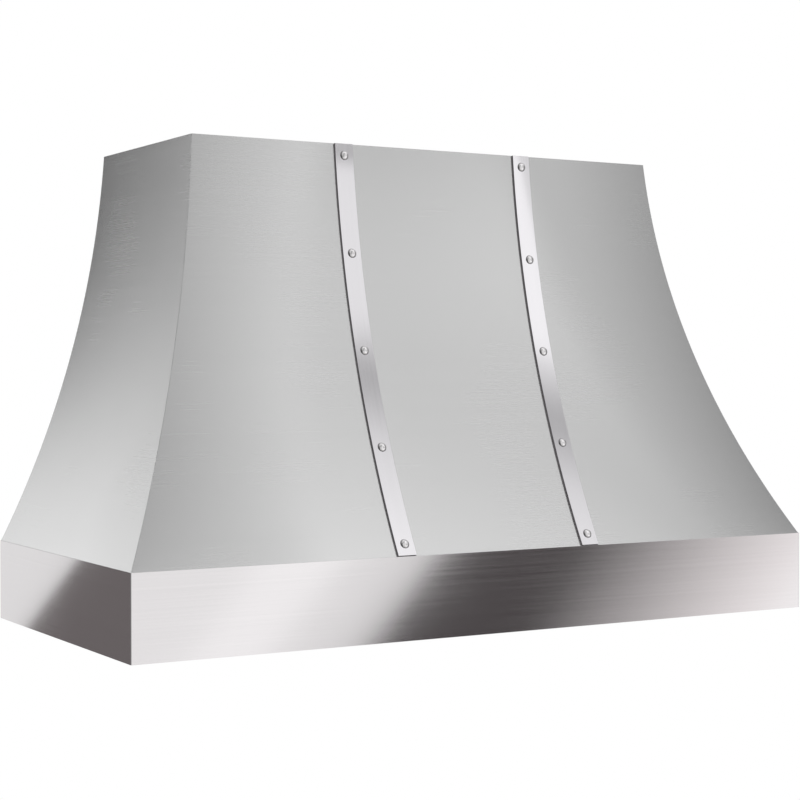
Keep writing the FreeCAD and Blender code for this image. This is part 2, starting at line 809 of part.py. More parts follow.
def damper_flap(side, sign, inset):
    """Half disc of sheet with two rolled knuckles round the pin. Sign -1 is the front half."""
    body = new_body(f"damper_flap_{side}")
    place(body, back="collar_back", up="roof_top + damper_height")
    radius = "(collar_bore - damper_gap)"
    edge = "(knuckle_diameter / 2 + damper_gap)"
    reach = f"sqrt({radius} ^ 2 - {edge} ^ 2)"
    turn = "right" if sign > 0 else "left"
    sketch = new_sketch(body, "XY_Plane", lift="-damper_sheet / 2")
    outline(sketch, [
        (f"-{reach}", f"{sign} * {edge}", radius, turn),
        ("0", f"{sign} * {radius}", radius, turn),
        (reach, f"{sign} * {edge}"),
        (f"{inset} + knuckle_length", f"{sign} * {edge}"),
        (f"{inset} + knuckle_length", "0"),
        (inset, "0"),
        (inset, f"{sign} * {edge}"),
        (f"-({inset})", f"{sign} * {edge}"),
        (f"-({inset})", "0"),
        (f"-({inset} + knuckle_length)", "0"),
        (f"-({inset} + knuckle_length)", f"{sign} * {edge}"),
    ])
    pad(body, sketch, "damper_sheet")
    sketch = new_sketch(body, "YZ_Plane", lift=inset)
    circle(sketch, "knuckle_diameter / 2")
    knuckle = pad(body, sketch, "knuckle_length")
    mirror(body, [knuckle], "YZ_Plane")
    sketch = new_sketch(body, "YZ_Plane")
    circle(sketch, "damper_pin / 2 + hinge_clearance")
    pocket_through(body, sketch)


# Liner, grease trough and filters


def liner_pan():
    """Pan inside the band: a strip for lamps and controls, side strips and the walls of the filter bay."""
    body = new_body("liner_pan")
    top = "(liner_height + liner_sheet)"
    sketch = new_sketch(body, "XY_Plane", lift="band_sheet")
    box_outline(sketch, "-inner_half", "-inner_depth", "inner_half", "-panel_sheet")
    pad(body, sketch, f"{top} - band_sheet")
    # Bay walls: the front one leans back with the sweep of the filters' front edge
    sketch = new_sketch(body, "YZ_Plane")
    outline(sketch, [
        ("-panel_sheet", "liner_height"),
        ("-panel_sheet", "bay_wall_top"),
        ("-(bay_front_head + liner_sheet)", "bay_wall_top"),
        ("-(bay_front + liner_sheet)", "liner_height"),
    ])
    pad(body, sketch, "2 * (bay_half + liner_sheet)", side="Symmetric")
    sketch = new_sketch(body, "YZ_Plane")
    outline(sketch, [
        ("overrun", "-overrun"),
        ("overrun", "bay_wall_top + overrun"),
        ("-bay_front_head", "bay_wall_top + overrun"),
        ("-bay_front_head", "bay_wall_top"),
        ("-bay_front", "liner_height"),
        ("-bay_front", "-overrun"),
    ])
    pocket(body, sketch, "2 * bay_half", side="Symmetric")
    # Hollow under the strips, which leaves the outer flanges standing on the band's lip
    sketch = new_sketch(body, "XY_Plane")
    box_outline(
        sketch,
        "-(inner_half - liner_sheet)",
        "-(inner_depth - liner_sheet)",
        "inner_half - liner_sheet",
        "overrun",
    )
    pocket(body, sketch, "liner_height", reverse=True)
    sketch = new_sketch(body, "XY_Plane")
    for sign in LAMPS.values():
        circle(sketch, "lamp_hole / 2", f"{sign} * lamp_spacing", "-strip_centre")
    for sign in (-1, 1):
        circle(sketch, "switch_bush / 2", f"control_centre + {sign} * control_spacing / 2", "-strip_centre")
    pocket_through(body, sketch)


def grease_trough():
    """Folded gutter along the back panel, whose beaded front lip carries the filters' rear edges."""
    body = new_body("grease_trough")
    seat = "(filter_pivot_back - filter_seat)"
    slope = "tilt_sine / tilt_cosine"
    sketch = new_sketch(body, "YZ_Plane")
    outline(sketch, [
        ("-panel_sheet", "trough_bottom"),
        ("-panel_sheet", "trough_back_height"),
        ("-(panel_sheet + trough_sheet)", "trough_back_height"),
        ("-(panel_sheet + trough_sheet)", "trough_bottom + trough_sheet"),
        (f"-({seat} - trough_sheet)", "trough_bottom + trough_sheet"),
        (f"-({seat} - trough_sheet)", f"filter_pivot_height - (filter_seat + trough_sheet) * {slope}"),
        ("-filter_pivot_back", "filter_pivot_height"),
        ("-filter_pivot_back", "filter_pivot_height - trough_sheet"),
        (f"-{seat}", f"filter_pivot_height - filter_seat * {slope} - trough_sheet"),
        (f"-{seat}", "trough_bottom"),
    ])
    pad(body, sketch, "2 * bay_half", side="Symmetric")
    sketch = new_sketch(body, "YZ_Plane")
    circle(sketch, "trough_bead", "-filter_pivot_back", "filter_pivot_height")
    pad(body, sketch, "2 * bay_half", side="Symmetric")


FILTER_WIDTH = f"((2 * bay_half - {len(FILTERS) + 1} * filter_gap) / {len(FILTERS)})"


def filter_place(body, sign):
    """A filter's own origin is its rest on top of the trough's bead, with its bottom in the XY plane."""
    place(
        body,
        across=f"{sign} * ({FILTER_WIDTH} + filter_gap)",
        back="filter_pivot_back - trough_bead * tilt_sine",
        up="filter_pivot_height + trough_bead * tilt_cosine",
    )
    body.Placement.Rotation = FreeCAD.Rotation(FreeCAD.Vector(1, 0, 0), 1)
    bind(body, "Placement.Rotation.Angle", "-filter_tilt")


def filter_frame(side, sign):
    """Channel frame round the baffles, with inward lips above and below."""
    body = new_body(f"filter_{side}_frame")
    filter_place(body, sign)
    half = f"({FILTER_WIDTH} / 2)"

    def rectangle(lift, inset):
        sketch = new_sketch(body, "XY_Plane", lift=lift)
        box_outline(
            sketch,
            f"-({half} - {inset})",
            f"-(filter_reach - {inset})",
            f"{half} - {inset}",
            f"filter_seat - {inset}",
        )
        return sketch

    pad(body, rectangle("0", "0"), "filter_thickness")
    channel = rectangle("filter_sheet", "filter_sheet")
    pocket(body, channel, "filter_thickness - 2 * filter_sheet", reverse=True)
    pocket_through(body, rectangle("0", "filter_lip"))


def filter_baffles(side, sign):
    """Two rows of channels, the lower open upwards and the upper open downwards over the gaps."""
    body = new_body(f"filter_{side}_baffles")
    filter_place(body, sign)
    inner = f"({FILTER_WIDTH} - 2 * filter_sheet)"
    pitch = f"({inner} / baffle_pairs)"
    low = "filter_sheet"
    high = "(filter_thickness - filter_sheet)"

    def channel(centre, base, direction):
        tip = f"({base} + {direction} * baffle_depth)"
        web = f"({base} + {direction} * baffle_sheet)"
        wide = "baffle_width / 2"
        sketch = new_sketch(body, "XZ_Plane", lift="filter_reach - filter_sheet")
        outline(sketch, [
            (f"{centre} - {wide}", base),
            (f"{centre} + {wide}", base),
            (f"{centre} + {wide}", tip),
            (f"{centre} + {wide} - baffle_sheet", tip),
            (f"{centre} + {wide} - baffle_sheet", web),
            (f"{centre} - {wide} + baffle_sheet", web),
            (f"{centre} - {wide} + baffle_sheet", tip),
            (f"{centre} - {wide}", tip),
        ])
        return pad(body, sketch, "filter_reach + filter_seat - 2 * filter_sheet", reverse=True)

    lower = channel(f"(({pitch} - {inner}) / 2)", low, 1)
    row_pattern(body, [lower], "X_Axis", pitch, "baffle_pairs")
    upper = channel(f"({pitch} - {inner} / 2)", high, -1)
    row_pattern(body, [upper], "X_Axis", pitch, "baffle_pairs - 1")


def filter_handles(side, sign):
    """Two bent wire handles welded under the filter's front lip."""
    body = new_body(f"filter_{side}_handles")
    filter_place(body, sign)
    wire = "handle_wire / 2"
    centre = "handle_spacing / 2"
    left = f"({centre} - handle_width / 2)"
    right = f"({centre} + handle_width / 2)"
    front = "(filter_reach - filter_lip / 2)"
    path = new_sketch(body, "XZ_Plane", lift=front)
    places = [
        (left, "0"),
        (left, "-(handle_drop - handle_bend)"),
        (f"{left} + handle_bend", "-handle_drop"),
        (f"{right} - handle_bend", "-handle_drop"),
        (right, "-(handle_drop - handle_bend)"),
        (right, "0"),
    ]
    open_path(path, places, "handle_bend", (1, 3))
    section = new_sketch(body, "XY_Plane", shift=(left, f"-{front}"))
    circle(section, wire)
    bail = body.newObject("PartDesign::AdditivePipe", body.Name + "_bail")
    bail.Profile = section
    bail.Spine = (path, [f"Edge{index + 1}" for index in range(len(places) - 1)])
    document.recompute()
    mirror(body, [bail], "YZ_Plane")


def open_path(sketch, corners, radius, bends):
    """An open line through corners, in which the edges numbered in bends are arcs that turn left."""
    places = [FreeCAD.Vector(number(across), number(up), 0) for across, up in corners]
    for index in range(len(corners) - 1):
        if index in bends:
            sketch.addGeometry(arc_between(places[index], places[index + 1], number(radius), "left"))
        else:
            sketch.addGeometry(Part.LineSegment(places[index], places[index + 1]))
        if index:
            sketch.addConstraint(Sketcher.Constraint("Coincident", index - 1, 2, index, 1))
        if index in bends:
            at = sketch.addConstraint(Sketcher.Constraint("Radius", index, number(radius)))
            bind(sketch, f"Constraints[{at}]", radius)
    last = len(corners) - 2
    for index, (across, up) in enumerate(corners):
        edge, point = (index, 1) if index <= last else (last, 2)
        for kind, formula, value in (
            ("DistanceX", across, places[index].x),
            ("DistanceY", up, places[index].y),
        ):
            at = sketch.addConstraint(Sketcher.Constraint(kind, edge, point, value))
            bind(sketch, f"Constraints[{at}]", formula)


def filter_clips():
    """Bowed leaf springs on the bay's front wall, two for each filter, that grip its front edge."""
    body = new_body("filter_clips")
    slope = "((bay_front - bay_front_head) / (bay_wall_top - liner_height))"
    high = "(bay_wall_top - clip_sheet)"
    knee = f"({high} - clip_tab)"
    low = f"({high} - clip_length)"
    middle = f"(({knee} + {low}) / 2)"
    bow = "(bay_gap / 2 - clip_sheet - clip_gap)"

    def off_wall(height, gap):
        return f"-(bay_front_head + {slope} * (bay_wall_top - {height}) - {gap})"

    clips = []
    for sign in (-1, 1):
        centre = f"{sign} * ({FILTER_WIDTH} / 2 - clip_inset) - ({FILTER_WIDTH} + filter_gap)"
        sketch = new_sketch(body, "YZ_Plane", lift=f"{centre} - clip_width / 2")
        outline(sketch, [
            (off_wall(high, "0"), high),
            (off_wall(knee, "0"), knee),
            (off_wall(middle, bow), middle),
            (off_wall(low, "0"), low),
            (off_wall(low, "clip_sheet"), low),
            (off_wall(middle, f"{bow} - clip_sheet"), middle),
            (off_wall(knee, "clip_sheet"), knee),
            (off_wall(high, "clip_sheet"), high),
        ])
        clips.append(pad(body, sketch, "clip_width"))
    row_pattern(body, clips, "X_Axis", f"{FILTER_WIDTH} + filter_gap", str(len(FILTERS)))


# Lamps


def lamp(side, sign):
    """Recessed lamp: a bezel under the strip, a glass disc in it and a body above."""
    across = f"{sign} * lamp_spacing"
    bezel = new_body(f"lamp_{side}_bezel")
    place(bezel, across, "strip_centre", "liner_height")
    sketch = new_sketch(bezel, "XZ_Plane")
    outline(sketch, [
        ("lamp_lens / 2", "0"),
        ("lamp_lens / 2", "-lamp_lens_thickness"),
        ("lamp_lens / 2 - lamp_wall", "-lamp_lens_thickness"),
        ("lamp_lens / 2 - lamp_wall", "-(lamp_lens_thickness + lamp_wall)"),
        ("lamp_bezel / 2 - lamp_bezel_rise", "-(lamp_lens_thickness + lamp_wall)", "lamp_bezel_rise", "left"),
        ("lamp_bezel / 2", "-(lamp_lens_thickness + lamp_wall - lamp_bezel_rise)"),
        ("lamp_bezel / 2", "0"),
    ])
    revolve(bezel, sketch, "V_Axis")
    lens = new_body(f"lamp_{side}_lens")
    place(lens, across, "strip_centre", "liner_height")
    sketch = new_sketch(lens, "XY_Plane", lift="-lamp_lens_thickness")
    circle(sketch, "lamp_lens / 2")
    pad(lens, sketch, "lamp_lens_thickness")
    housing = new_body(f"lamp_{side}_housing")
    place(housing, across, "strip_centre", "liner_height")
    sketch = new_sketch(housing, "XZ_Plane")
    outline(sketch, [
        ("lamp_lens / 2 - lamp_wall", "0"),
        ("lamp_body / 2", "0"),
        ("lamp_body / 2", "lamp_body_height"),
        ("0", "lamp_body_height"),
        ("0", "lamp_body_height - lamp_wall"),
        ("lamp_lens / 2 - lamp_wall", "lamp_body_height - lamp_wall"),
    ])
    revolve(housing, sketch, "V_Axis")


# Controls


def control(label, switch, sign):
    """Rotary control: a switch on the strip, its spindle and a knurled knob on the underside."""
    across = f"(control_centre + {sign} * control_spacing / 2)"
    low = "-(knob_gap + knob_height)"
    box = new_body(switch)
    place(box, across, "strip_centre", "liner_height")
    half = "switch_width / 2"
    sketch = new_sketch(box, "XY_Plane", lift="liner_sheet")
    box_outline(sketch, f"-{half}", f"-{half}", half, half)
    pad(box, sketch, "switch_height")
    sketch = new_sketch(box, "XY_Plane")
    circle(sketch, "switch_bush / 2")
    pad(box, sketch, "liner_sheet")
    sketch = new_sketch(box, "XY_Plane")
    circle(sketch, "spindle_diameter / 2 + hinge_clearance")
    pocket(box, sketch, "liner_sheet + switch_height / 2", reverse=True)
    spindle = new_body(f"{label}_spindle")
    place(spindle, across, "strip_centre", "liner_height")
    sketch = new_sketch(spindle, "XY_Plane", lift=f"{low} + (knob_height - spindle_in_knob)")
    circle(sketch, "spindle_diameter / 2")
    pad(spindle, sketch, "knob_gap + spindle_in_knob + liner_sheet + switch_height / 2 - hinge_clearance")
    knob = new_body(f"{label}_knob")
    place(knob, across, "strip_centre", "liner_height")
    sketch = new_sketch(knob, "XZ_Plane")
    outline(sketch, [
        ("0", "-knob_gap"),
        ("0", low),
        ("knob_diameter / 2 - knob_grip - knob_top_edge", low, "knob_top_edge", "left"),
        ("knob_diameter / 2 - knob_grip", f"{low} + knob_top_edge"),
        ("knob_diameter / 2 - knob_grip", "-(knob_gap + knob_grip)"),
        ("knob_diameter / 2", "-(knob_gap + knob_grip / 2)"),
        ("knob_diameter / 2", "-knob_gap"),
    ])
    revolve(knob, sketch, "V_Axis")
    sketch = new_sketch(knob, "XY_Plane", lift=f"{low} + (knob_height - spindle_in_knob)")
    circle(sketch, "spindle_diameter / 2")
    pocket(knob, sketch, "spindle_in_knob", reverse=True)


# Blower: local Y points to the wall and Z up, with the origin on the shaft


def scroll_outline(sketch, shell, head):
    """Volute by three quarter arcs that step outwards, with a rounded tongue at the outlet."""
    start = f"(scroll_start + {shell})"
    nose = f"(tongue_radius - {shell})"
    tongue = "(scroll_start + tongue_radius)"
    outline(sketch, [
        (f"-{shell}", head),
        (f"-{shell}", "tongue_up", nose, "right"),
        (f"-tongue_radius * {start} / {tongue}", f"tongue_up * {start} / {tongue}", start, "left"),
        (f"-{start}", "0", f"{start} + scroll_step", "left"),
        ("scroll_step", f"-({start} + scroll_step)", f"{start} + 2 * scroll_step", "left"),
        (f"{start} + 3 * scroll_step", "scroll_step"),
        (f"{start} + 3 * scroll_step", head),
    ])


def blower_housing():
    """Scroll housing: wrapper and side plates from sheet, inlets both sides, outlet flange on top."""
    body = new_body("blower_housing")
    place(body, back="blower_back", up="blower_height")
    top = "scroll_outlet_height"
    sketch = new_sketch(body, "YZ_Plane")
    scroll_outline(sketch, "scroll_sheet", top)
    pad(body, sketch, "2 * scroll_side", side="Symmetric")
    edge = "(outlet_flange + scroll_sheet)"
    sketch = new_sketch(body, "XY_Plane", lift=f"{top} - scroll_sheet")
    box_outline(
        sketch,
        f"-(scroll_half + {edge})",
        f"-{edge}",
        f"scroll_half + {edge}",
        f"scroll_outlet + {edge}",
    )
    pad(body, sketch, "scroll_sheet")
    sketch = new_sketch(body, "YZ_Plane")
    scroll_outline(sketch, "0", f"{top} + overrun")
    pocket(body, sketch, "2 * scroll_half", side="Symmetric")
    sketch = new_sketch(body, "YZ_Plane")
    circle(sketch, "inlet_diameter / 2")
    pocket_through(body, sketch)


def inlet_ring(side, sign):
    """Spun ring with a rounded mouth that leads the air into one side of the impeller."""
    body = new_body(f"inlet_ring_{side}")
    place(body, back="blower_back", up="blower_height")
    bore = "(inlet_diameter / 2 - inlet_ring_lip)"
    inner = "(inlet_ring_lip - inlet_ring_sheet)"
    face = "(scroll_side + inlet_ring_sheet)"
    out = "right" if sign > 0 else "left"
    back = "left" if sign > 0 else "right"
    sketch = new_sketch(body, "XZ_Plane")
    outline(sketch, [
        (f"{sign} * scroll_side", "inlet_diameter / 2 + inlet_ring_flange"),
        (f"{sign} * {face}", "inlet_diameter / 2 + inlet_ring_flange"),
        (f"{sign} * {face}", f"{bore} + inlet_ring_lip", "inlet_ring_lip", out),
        (f"{sign} * ({face} - inlet_ring_lip)", bore),
        (f"{sign} * ({face} - inlet_ring_lip)", f"{bore} + inlet_ring_sheet", inner, back),
        (f"{sign} * scroll_side", f"{bore} + inlet_ring_lip"),
    ])
    revolve(body, sketch, "H_Axis")


def impeller():
    """Squirrel cage: forward-curved blades through a centre plate, with a ring at each end and a hub."""
    body = new_body("impeller")
    place(body, back="blower_back", up="blower_height")
    half = "impeller_width / 2"
    sketch = new_sketch(body, "XZ_Plane")
    box_outline(sketch, "-impeller_plate / 2", "shaft_diameter / 2", "impeller_plate / 2", "impeller_radius")
    revolve(body, sketch, "H_Axis")
    sketch = new_sketch(body, "XZ_Plane")
    box_outline(sketch, "-hub_length", "shaft_diameter / 2", "-impeller_plate / 2", "hub_diameter / 2")
    revolve(body, sketch, "H_Axis")
    inner = "(impeller_radius - blade_depth)"
    curve = "blade_curve"
    tip = "sqrt(impeller_radius ^ 2 - (blade_depth / 4) ^ 2)"
    sketch = new_sketch(body, "YZ_Plane")
    outline(sketch, [
        ("0", inner, curve, "left"),
        ("-blade_depth / 4", f"{tip} - blade_sheet / 2"),
        ("-(blade_depth / 4 + blade_sheet)", f"{tip} - blade_sheet", f"{curve} - blade_sheet", "right"),
        ("-blade_sheet", inner),
    ])
    blade = pad(body, sketch, "impeller_width", side="Symmetric")
    polar_pattern(body, [blade], (origin_of(body, "X_Axis"), [""]), "360", "blade_count")
    for sign in (-1, 1):
        sketch = new_sketch(body, "XZ_Plane")
        box_outline(
            sketch,
            f"{sign} * {half}",
            "impeller_radius - blade_depth / 2",
            f"{sign} * ({half} - blade_sheet)",
            "impeller_radius",
        )
        revolve(body, sketch, "H_Axis")


def motor():
    """Round motor inside the impeller's right half, with a bearing bore at its shaft end."""
    body = new_body("motor")
    place(body, back="blower_back", up="blower_height")
    radius = "(motor_diameter / 2)"
    start = "(impeller_plate / 2 + motor_start)"
    end = "(scroll_side + inlet_ring_sheet)"
    sketch = new_sketch(body, "XZ_Plane")
    bore = "(shaft_diameter / 2 + hinge_clearance)"
    outline(sketch, [
        (start, bore),
        (f"{end} - motor_edge", bore),
        (f"{end} - motor_edge", "0"),
        (end, "0"),
        (end, radius),
        (f"{start} + motor_edge", radius, "motor_edge", "left"),
        (start, f"{radius} - motor_edge"),
    ])
    revolve(body, sketch, "H_Axis")


def motor_shaft():
    """Steel shaft from the impeller's hub into the motor."""
    body = new_body("motor_shaft")
    place(body, back="blower_back", up="blower_height")
    sketch = new_sketch(body, "YZ_Plane", lift="-hub_length")
    circle(sketch, "shaft_diameter / 2")
    pad(body, sketch, "hub_length + scroll_side + inlet_ring_sheet - 2 * motor_edge")


def motor_bracket():
    """Hub plate on the motor's end with three arms out to the scroll's side plate."""
    body = new_body("motor_bracket")
    place(body, back="blower_back", up="blower_height")
    face = "(scroll_side + inlet_ring_sheet)"
    sketch = new_sketch(body, "YZ_Plane", lift=face)
    circle(sketch, "motor_diameter / 2 - motor_edge")
    pad(body, sketch, "bracket_sheet")
    sketch = new_sketch(body, "YZ_Plane", lift=face)
    box_outline(sketch, "-bracket_arm / 2", "0", "bracket_arm / 2", "inlet_diameter / 2 + inlet_ring_flange")
    arm = pad(body, sketch, "bracket_sheet")
    polar_pattern(body, [arm], (origin_of(body, "X_Axis"), [""]), "360", "3")


def outlet_transition():
    """Square-to-round duct from the scroll's flange up to the hole in the roof."""
    body = new_body("outlet_transition")
    place(body, back="collar_back", up="blower_height + scroll_outlet_height")
    sheet_edges = (("AdditiveLoft", "scroll_sheet"), ("SubtractiveLoft", "0"))
    for kind, shell in sheet_edges:
        half = f"(scroll_half + {shell})"
        deep = f"(scroll_outlet / 2 + {shell})"
        bend = f"(tongue_radius + {shell})"
        low = new_sketch(body, "XY_Plane")
        outline(low, [
            (f"-({half} - {bend})", f"-{deep}"),
            (f"{half} - {bend}", f"-{deep}", bend, "left"),
            (half, f"-({deep} - {bend})"),
            (half, f"{deep} - {bend}", bend, "left"),
            (f"{half} - {bend}", deep),
            (f"-({half} - {bend})", deep, bend, "left"),
            (f"-{half}", f"{deep} - {bend}"),
            (f"-{half}", f"-({deep} - {bend})", bend, "left"),
        ])
        high = new_sketch(body, "XY_Plane", lift="transition_height")
        circle(high, f"collar_bore + {shell}")
        loft = body.newObject("PartDesign::" + kind, body.Name + "_loft")
        loft.Profile = low
        loft.Sections = [high]
        document.recompute()


# Junction box


def junction_box():
    """Box under the roof where the supply cable comes in, with a screwed cover below."""
    body = new_body("junction_box")
    place(body, "-box_across", "collar_back", "roof_height")
    length = "box_length / 2"
    width = "box_width / 2"
    sketch = new_sketch(body, "XY_Plane", lift="-box_height")
    box_outline(sketch, f"-{length}", f"-{width}", length, width)
    pad(body, sketch, "box_height")
    sketch = new_sketch(body, "XY_Plane", lift="-box_height")
    box_outline(
        sketch,
        f"-({length} - box_sheet)",
        f"-({width} - box_sheet)",
        f"{length} - box_sheet",
        f"{width} - box_sheet",
    )
    pocket(body, sketch, "box_height - box_sheet", reverse=True)
    sketch = new_sketch(body, "XY_Plane")
    circle(sketch, "knockout_diameter / 2")
    pocket_through(body, sketch)
    cover = new_body("junction_box_cover")
    place(cover, "-box_across", "collar_back", "roof_height - box_height")
    sketch = new_sketch(cover, "XY_Plane", lift="-box_sheet")
    box_outline(sketch, f"-{length}", f"-{width}", length, width)
    pad(cover, sketch, "box_sheet")


# Assembly


canopy_front_panel()
canopy_side_panel("left", -1)
canopy_side_panel("right", 1)
apron_band()
back_panel()
wall_rail("upper_wall_rail", "upper_hole_height")
wall_rail("lower_wall_rail", "lower_hole_height")
roof_panel()
for strap_side, strap_sign in (("left", -1), ("right", 1)):
    strap(strap_side, strap_sign)
    strap_rivets(strap_side, strap_sign)
duct_collar()
collar_rivets()
damper_pin()
damper_flap("front", -1, "knuckle_inset")
damper_flap("rear", 1, "(knuckle_inset + knuckle_length + damper_gap)")
liner_pan()
grease_trough()
filter_clips()
for filter_side, filter_sign in FILTERS.items():
    filter_frame(filter_side, filter_sign)
    filter_baffles(filter_side, filter_sign)
    filter_handles(filter_side, filter_sign)
for lamp_side, lamp_sign in LAMPS.items():
    lamp(lamp_side, lamp_sign)
control("light", "light_dimmer", -1)
control("fan", "fan_switch", 1)
blower_housing()
inlet_ring("left", -1)
inlet_ring("right", 1)
impeller()
motor()
motor_shaft()
motor_bracket()
outlet_transition()
junction_box()
document.recompute()

faults = [
    f"{thing.Name}: {thing.State}"
    for thing in document.Objects
    if "Invalid" in thing.State or "Error" in thing.State
]
for piece in pieces:
    if piece.Shape.isNull() or not piece.Shape.isValid() or not piece.Shape.Solids:
        faults.append(f"{piece.Label}: no valid solid")
if faults:
    raise RuntimeError("; ".join(faults))

os.makedirs("parts", exist_ok=True)
for piece in pieces:
    piece.Shape.exportStep(f"parts/{piece.Label}.step")
print(len(pieces), "sub-parts")
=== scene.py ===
import bmesh
import bpy
import json
import math
from mathutils import Matrix, Vector


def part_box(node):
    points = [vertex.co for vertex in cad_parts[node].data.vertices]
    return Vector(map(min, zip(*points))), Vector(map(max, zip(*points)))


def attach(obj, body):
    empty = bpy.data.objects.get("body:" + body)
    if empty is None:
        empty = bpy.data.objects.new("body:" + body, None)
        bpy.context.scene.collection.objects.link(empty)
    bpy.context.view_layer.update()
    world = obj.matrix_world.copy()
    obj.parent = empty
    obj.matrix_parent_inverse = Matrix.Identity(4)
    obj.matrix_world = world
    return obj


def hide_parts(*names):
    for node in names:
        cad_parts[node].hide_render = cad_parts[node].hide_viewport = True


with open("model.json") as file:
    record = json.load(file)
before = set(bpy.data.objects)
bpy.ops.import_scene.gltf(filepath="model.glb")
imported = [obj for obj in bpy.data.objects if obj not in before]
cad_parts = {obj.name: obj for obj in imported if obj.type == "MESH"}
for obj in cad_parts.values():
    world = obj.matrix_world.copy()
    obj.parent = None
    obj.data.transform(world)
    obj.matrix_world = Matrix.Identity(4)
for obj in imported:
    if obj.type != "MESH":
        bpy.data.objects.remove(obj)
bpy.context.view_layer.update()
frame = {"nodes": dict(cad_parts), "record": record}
bpy.context.scene.view_settings.view_transform = "Standard"

# Camera
# The photograph's viewing angle: a long lens a little below the middle of the hood, from the left
# of its front.

camera_place = (-1.5673, -2.9129, 0.4077)
camera_lens_mm = 82.72
camera_sensor_mm = 36.0
camera_pitch = -0.99
camera_yaw = 30.487
camera = bpy.data.objects.new("camera", bpy.data.cameras.new("camera"))
camera.data.lens = camera_lens_mm
camera.data.sensor_width = camera_sensor_mm
camera.location = camera_place
camera.rotation_euler = (math.radians(90 + camera_pitch), 0, math.radians(-camera_yaw))
bpy.context.scene.collection.objects.link(camera)
bpy.context.scene.camera = camera

# Canopy sheets
# Front, left and right sheets of 1.2 mm stainless, rolled to a hollow flare of 1650 mm radius and
# welded along the hips. The mill's belt leaves a fine grain that runs level round the canopy.


def linear(hex_code):
    """A colour written as an sRGB hex value, in the linear light that the shaders use."""
    parts = [int(hex_code[i:i + 2], 16) / 255 for i in (0, 2, 4)]
    light = [part / 12.92 if part <= 0.04045 else ((part + 0.055) / 1.055) ** 2.4 for part in parts]
    return (*light, 1.0)


def add_node(tree, kind, settings=None, values=None, links=None):
    """Adds one shader node: settings are its own properties, values and links go to its inputs."""
    made = tree.nodes.new(kind)
    for name, value in (settings or {}).items():
        setattr(made, name, value)
    for name, value in (values or {}).items():
        made.inputs[name].default_value = value
    for name, socket in (links or {}).items():
        tree.links.new(socket, made.inputs[name])
    return made


def new_material(name, values):
    """A material with one Principled shader, whose constant values are set on its own sockets."""
    material = bpy.data.materials.new(name)
    material.use_nodes = True
    shader = material.node_tree.nodes["Principled BSDF"]
    for socket, value in values.items():
        shader.inputs[socket].default_value = value
    return material, material.node_tree, shader


def brushed_metal(name, colour, dark_colour, roughness, grain, spread, depth, stretch=0.0):
    """Metal brushed with a belt.

    Grain is how many streaks there are in a metre along X, Y and Z, spread is how far their roughness
    departs from the mean, depth is how deep they are, and stretch draws reflections out across them.
    """
    material, tree, shader = new_material(name, {"Metallic": 1.0, "Anisotropic": stretch})
    place = add_node(tree, "ShaderNodeTexCoord")
    stretched = add_node(
        tree,
        "ShaderNodeMapping",
        values={"Scale": grain},
        links={"Vector": place.outputs["Object"]},
    )
    streaks = add_node(
        tree,
        "ShaderNodeTexNoise",
        values={"Scale": 1.0, "Detail": 3.0, "Roughness": 0.6},
        links={"Vector": stretched.outputs["Vector"]},
    )
    clouds = add_node(
        tree,
        "ShaderNodeTexNoise",
        values={"Scale": 5.0, "Detail": 2.0},
        links={"Vector": place.outputs["Object"]},
    )
    shade = add_node(
        tree,
        "ShaderNodeMix",
        settings={"data_type": "RGBA"},
        links={"Factor": streaks.outputs["Fac"]},
    )
    shade.inputs[6].default_value = linear(dark_colour)
    shade.inputs[7].default_value = linear(colour)
    tree.links.new(shade.outputs[2], shader.inputs["Base Color"])
    both = add_node(
        tree,
        "ShaderNodeMath",
        settings={"operation": "MULTIPLY"},
        links={0: streaks.outputs["Fac"], 1: clouds.outputs["Fac"]},
    )
    rough = add_node(
        tree,
        "ShaderNodeMapRange",
        values={"From Min": 0.1, "From Max": 0.4, "To Min": roughness - spread, "To Max": roughness + spread},
        links={"Value": both.outputs["Value"]},
    )
    tree.links.new(rough.outputs["Result"], shader.inputs["Roughness"])
    bump = add_node(
        tree,
        "ShaderNodeBump",
        values={"Strength": 0.25, "Distance": depth},
        links={"Height": streaks.outputs["Fac"]},
    )
    tree.links.new(bump.outputs["Normal"], shader.inputs["Normal"])
    if stretch:
        up_the_sheet = add_node(
            tree,
            "ShaderNodeTangent",
            settings={"direction_type": "UV_MAP", "uv_map": "grain"},
        )
        tree.links.new(up_the_sheet.outputs["Tangent"], shader.inputs["Tangent"])
    return material


# Stainless brushed with a 180 grit belt: level streaks that draw each reflection out up and down.
# They are a millimetre apart, which is coarser than the belt leaves them, so that they show.
brushed_stainless = brushed_metal(
    "brushed_stainless",
    "E0E0E0",
    "DADADA",
    roughness=0.26,
    grain=(1.5, 1.5, 900.0),
    spread=0.018,
    depth=0.0000022,
    stretch=0.65,
)


def new_piece(name, body, material, mesh):
    """Makes the object of a finished bmesh, which rides on a body and takes its finish from a slot."""
    data = bpy.data.meshes.new(name)
    mesh.to_mesh(data)
    mesh.free()
    piece = bpy.data.objects.new(name, data)
    bpy.context.scene.collection.objects.link(piece)
    data.materials.append(material)
    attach(piece, body)
    return piece


def soften(piece, width, segments=2, angle=35.0):
    """Smooth faces with flats kept flat, and a small bevel where the real edge is dulled."""
    piece.data.shade_smooth()
    piece.data.set_sharp_from_angle(angle=math.radians(angle))
    bevel = piece.modifiers.new("bevel", "BEVEL")
    bevel.width = width
    bevel.segments = segments
    bevel.limit_method = "ANGLE"
    bevel.angle_limit = math.radians(angle)
    weights = piece.modifiers.new("weights", "WEIGHTED_NORMAL")
    weights.keep_sharp = True


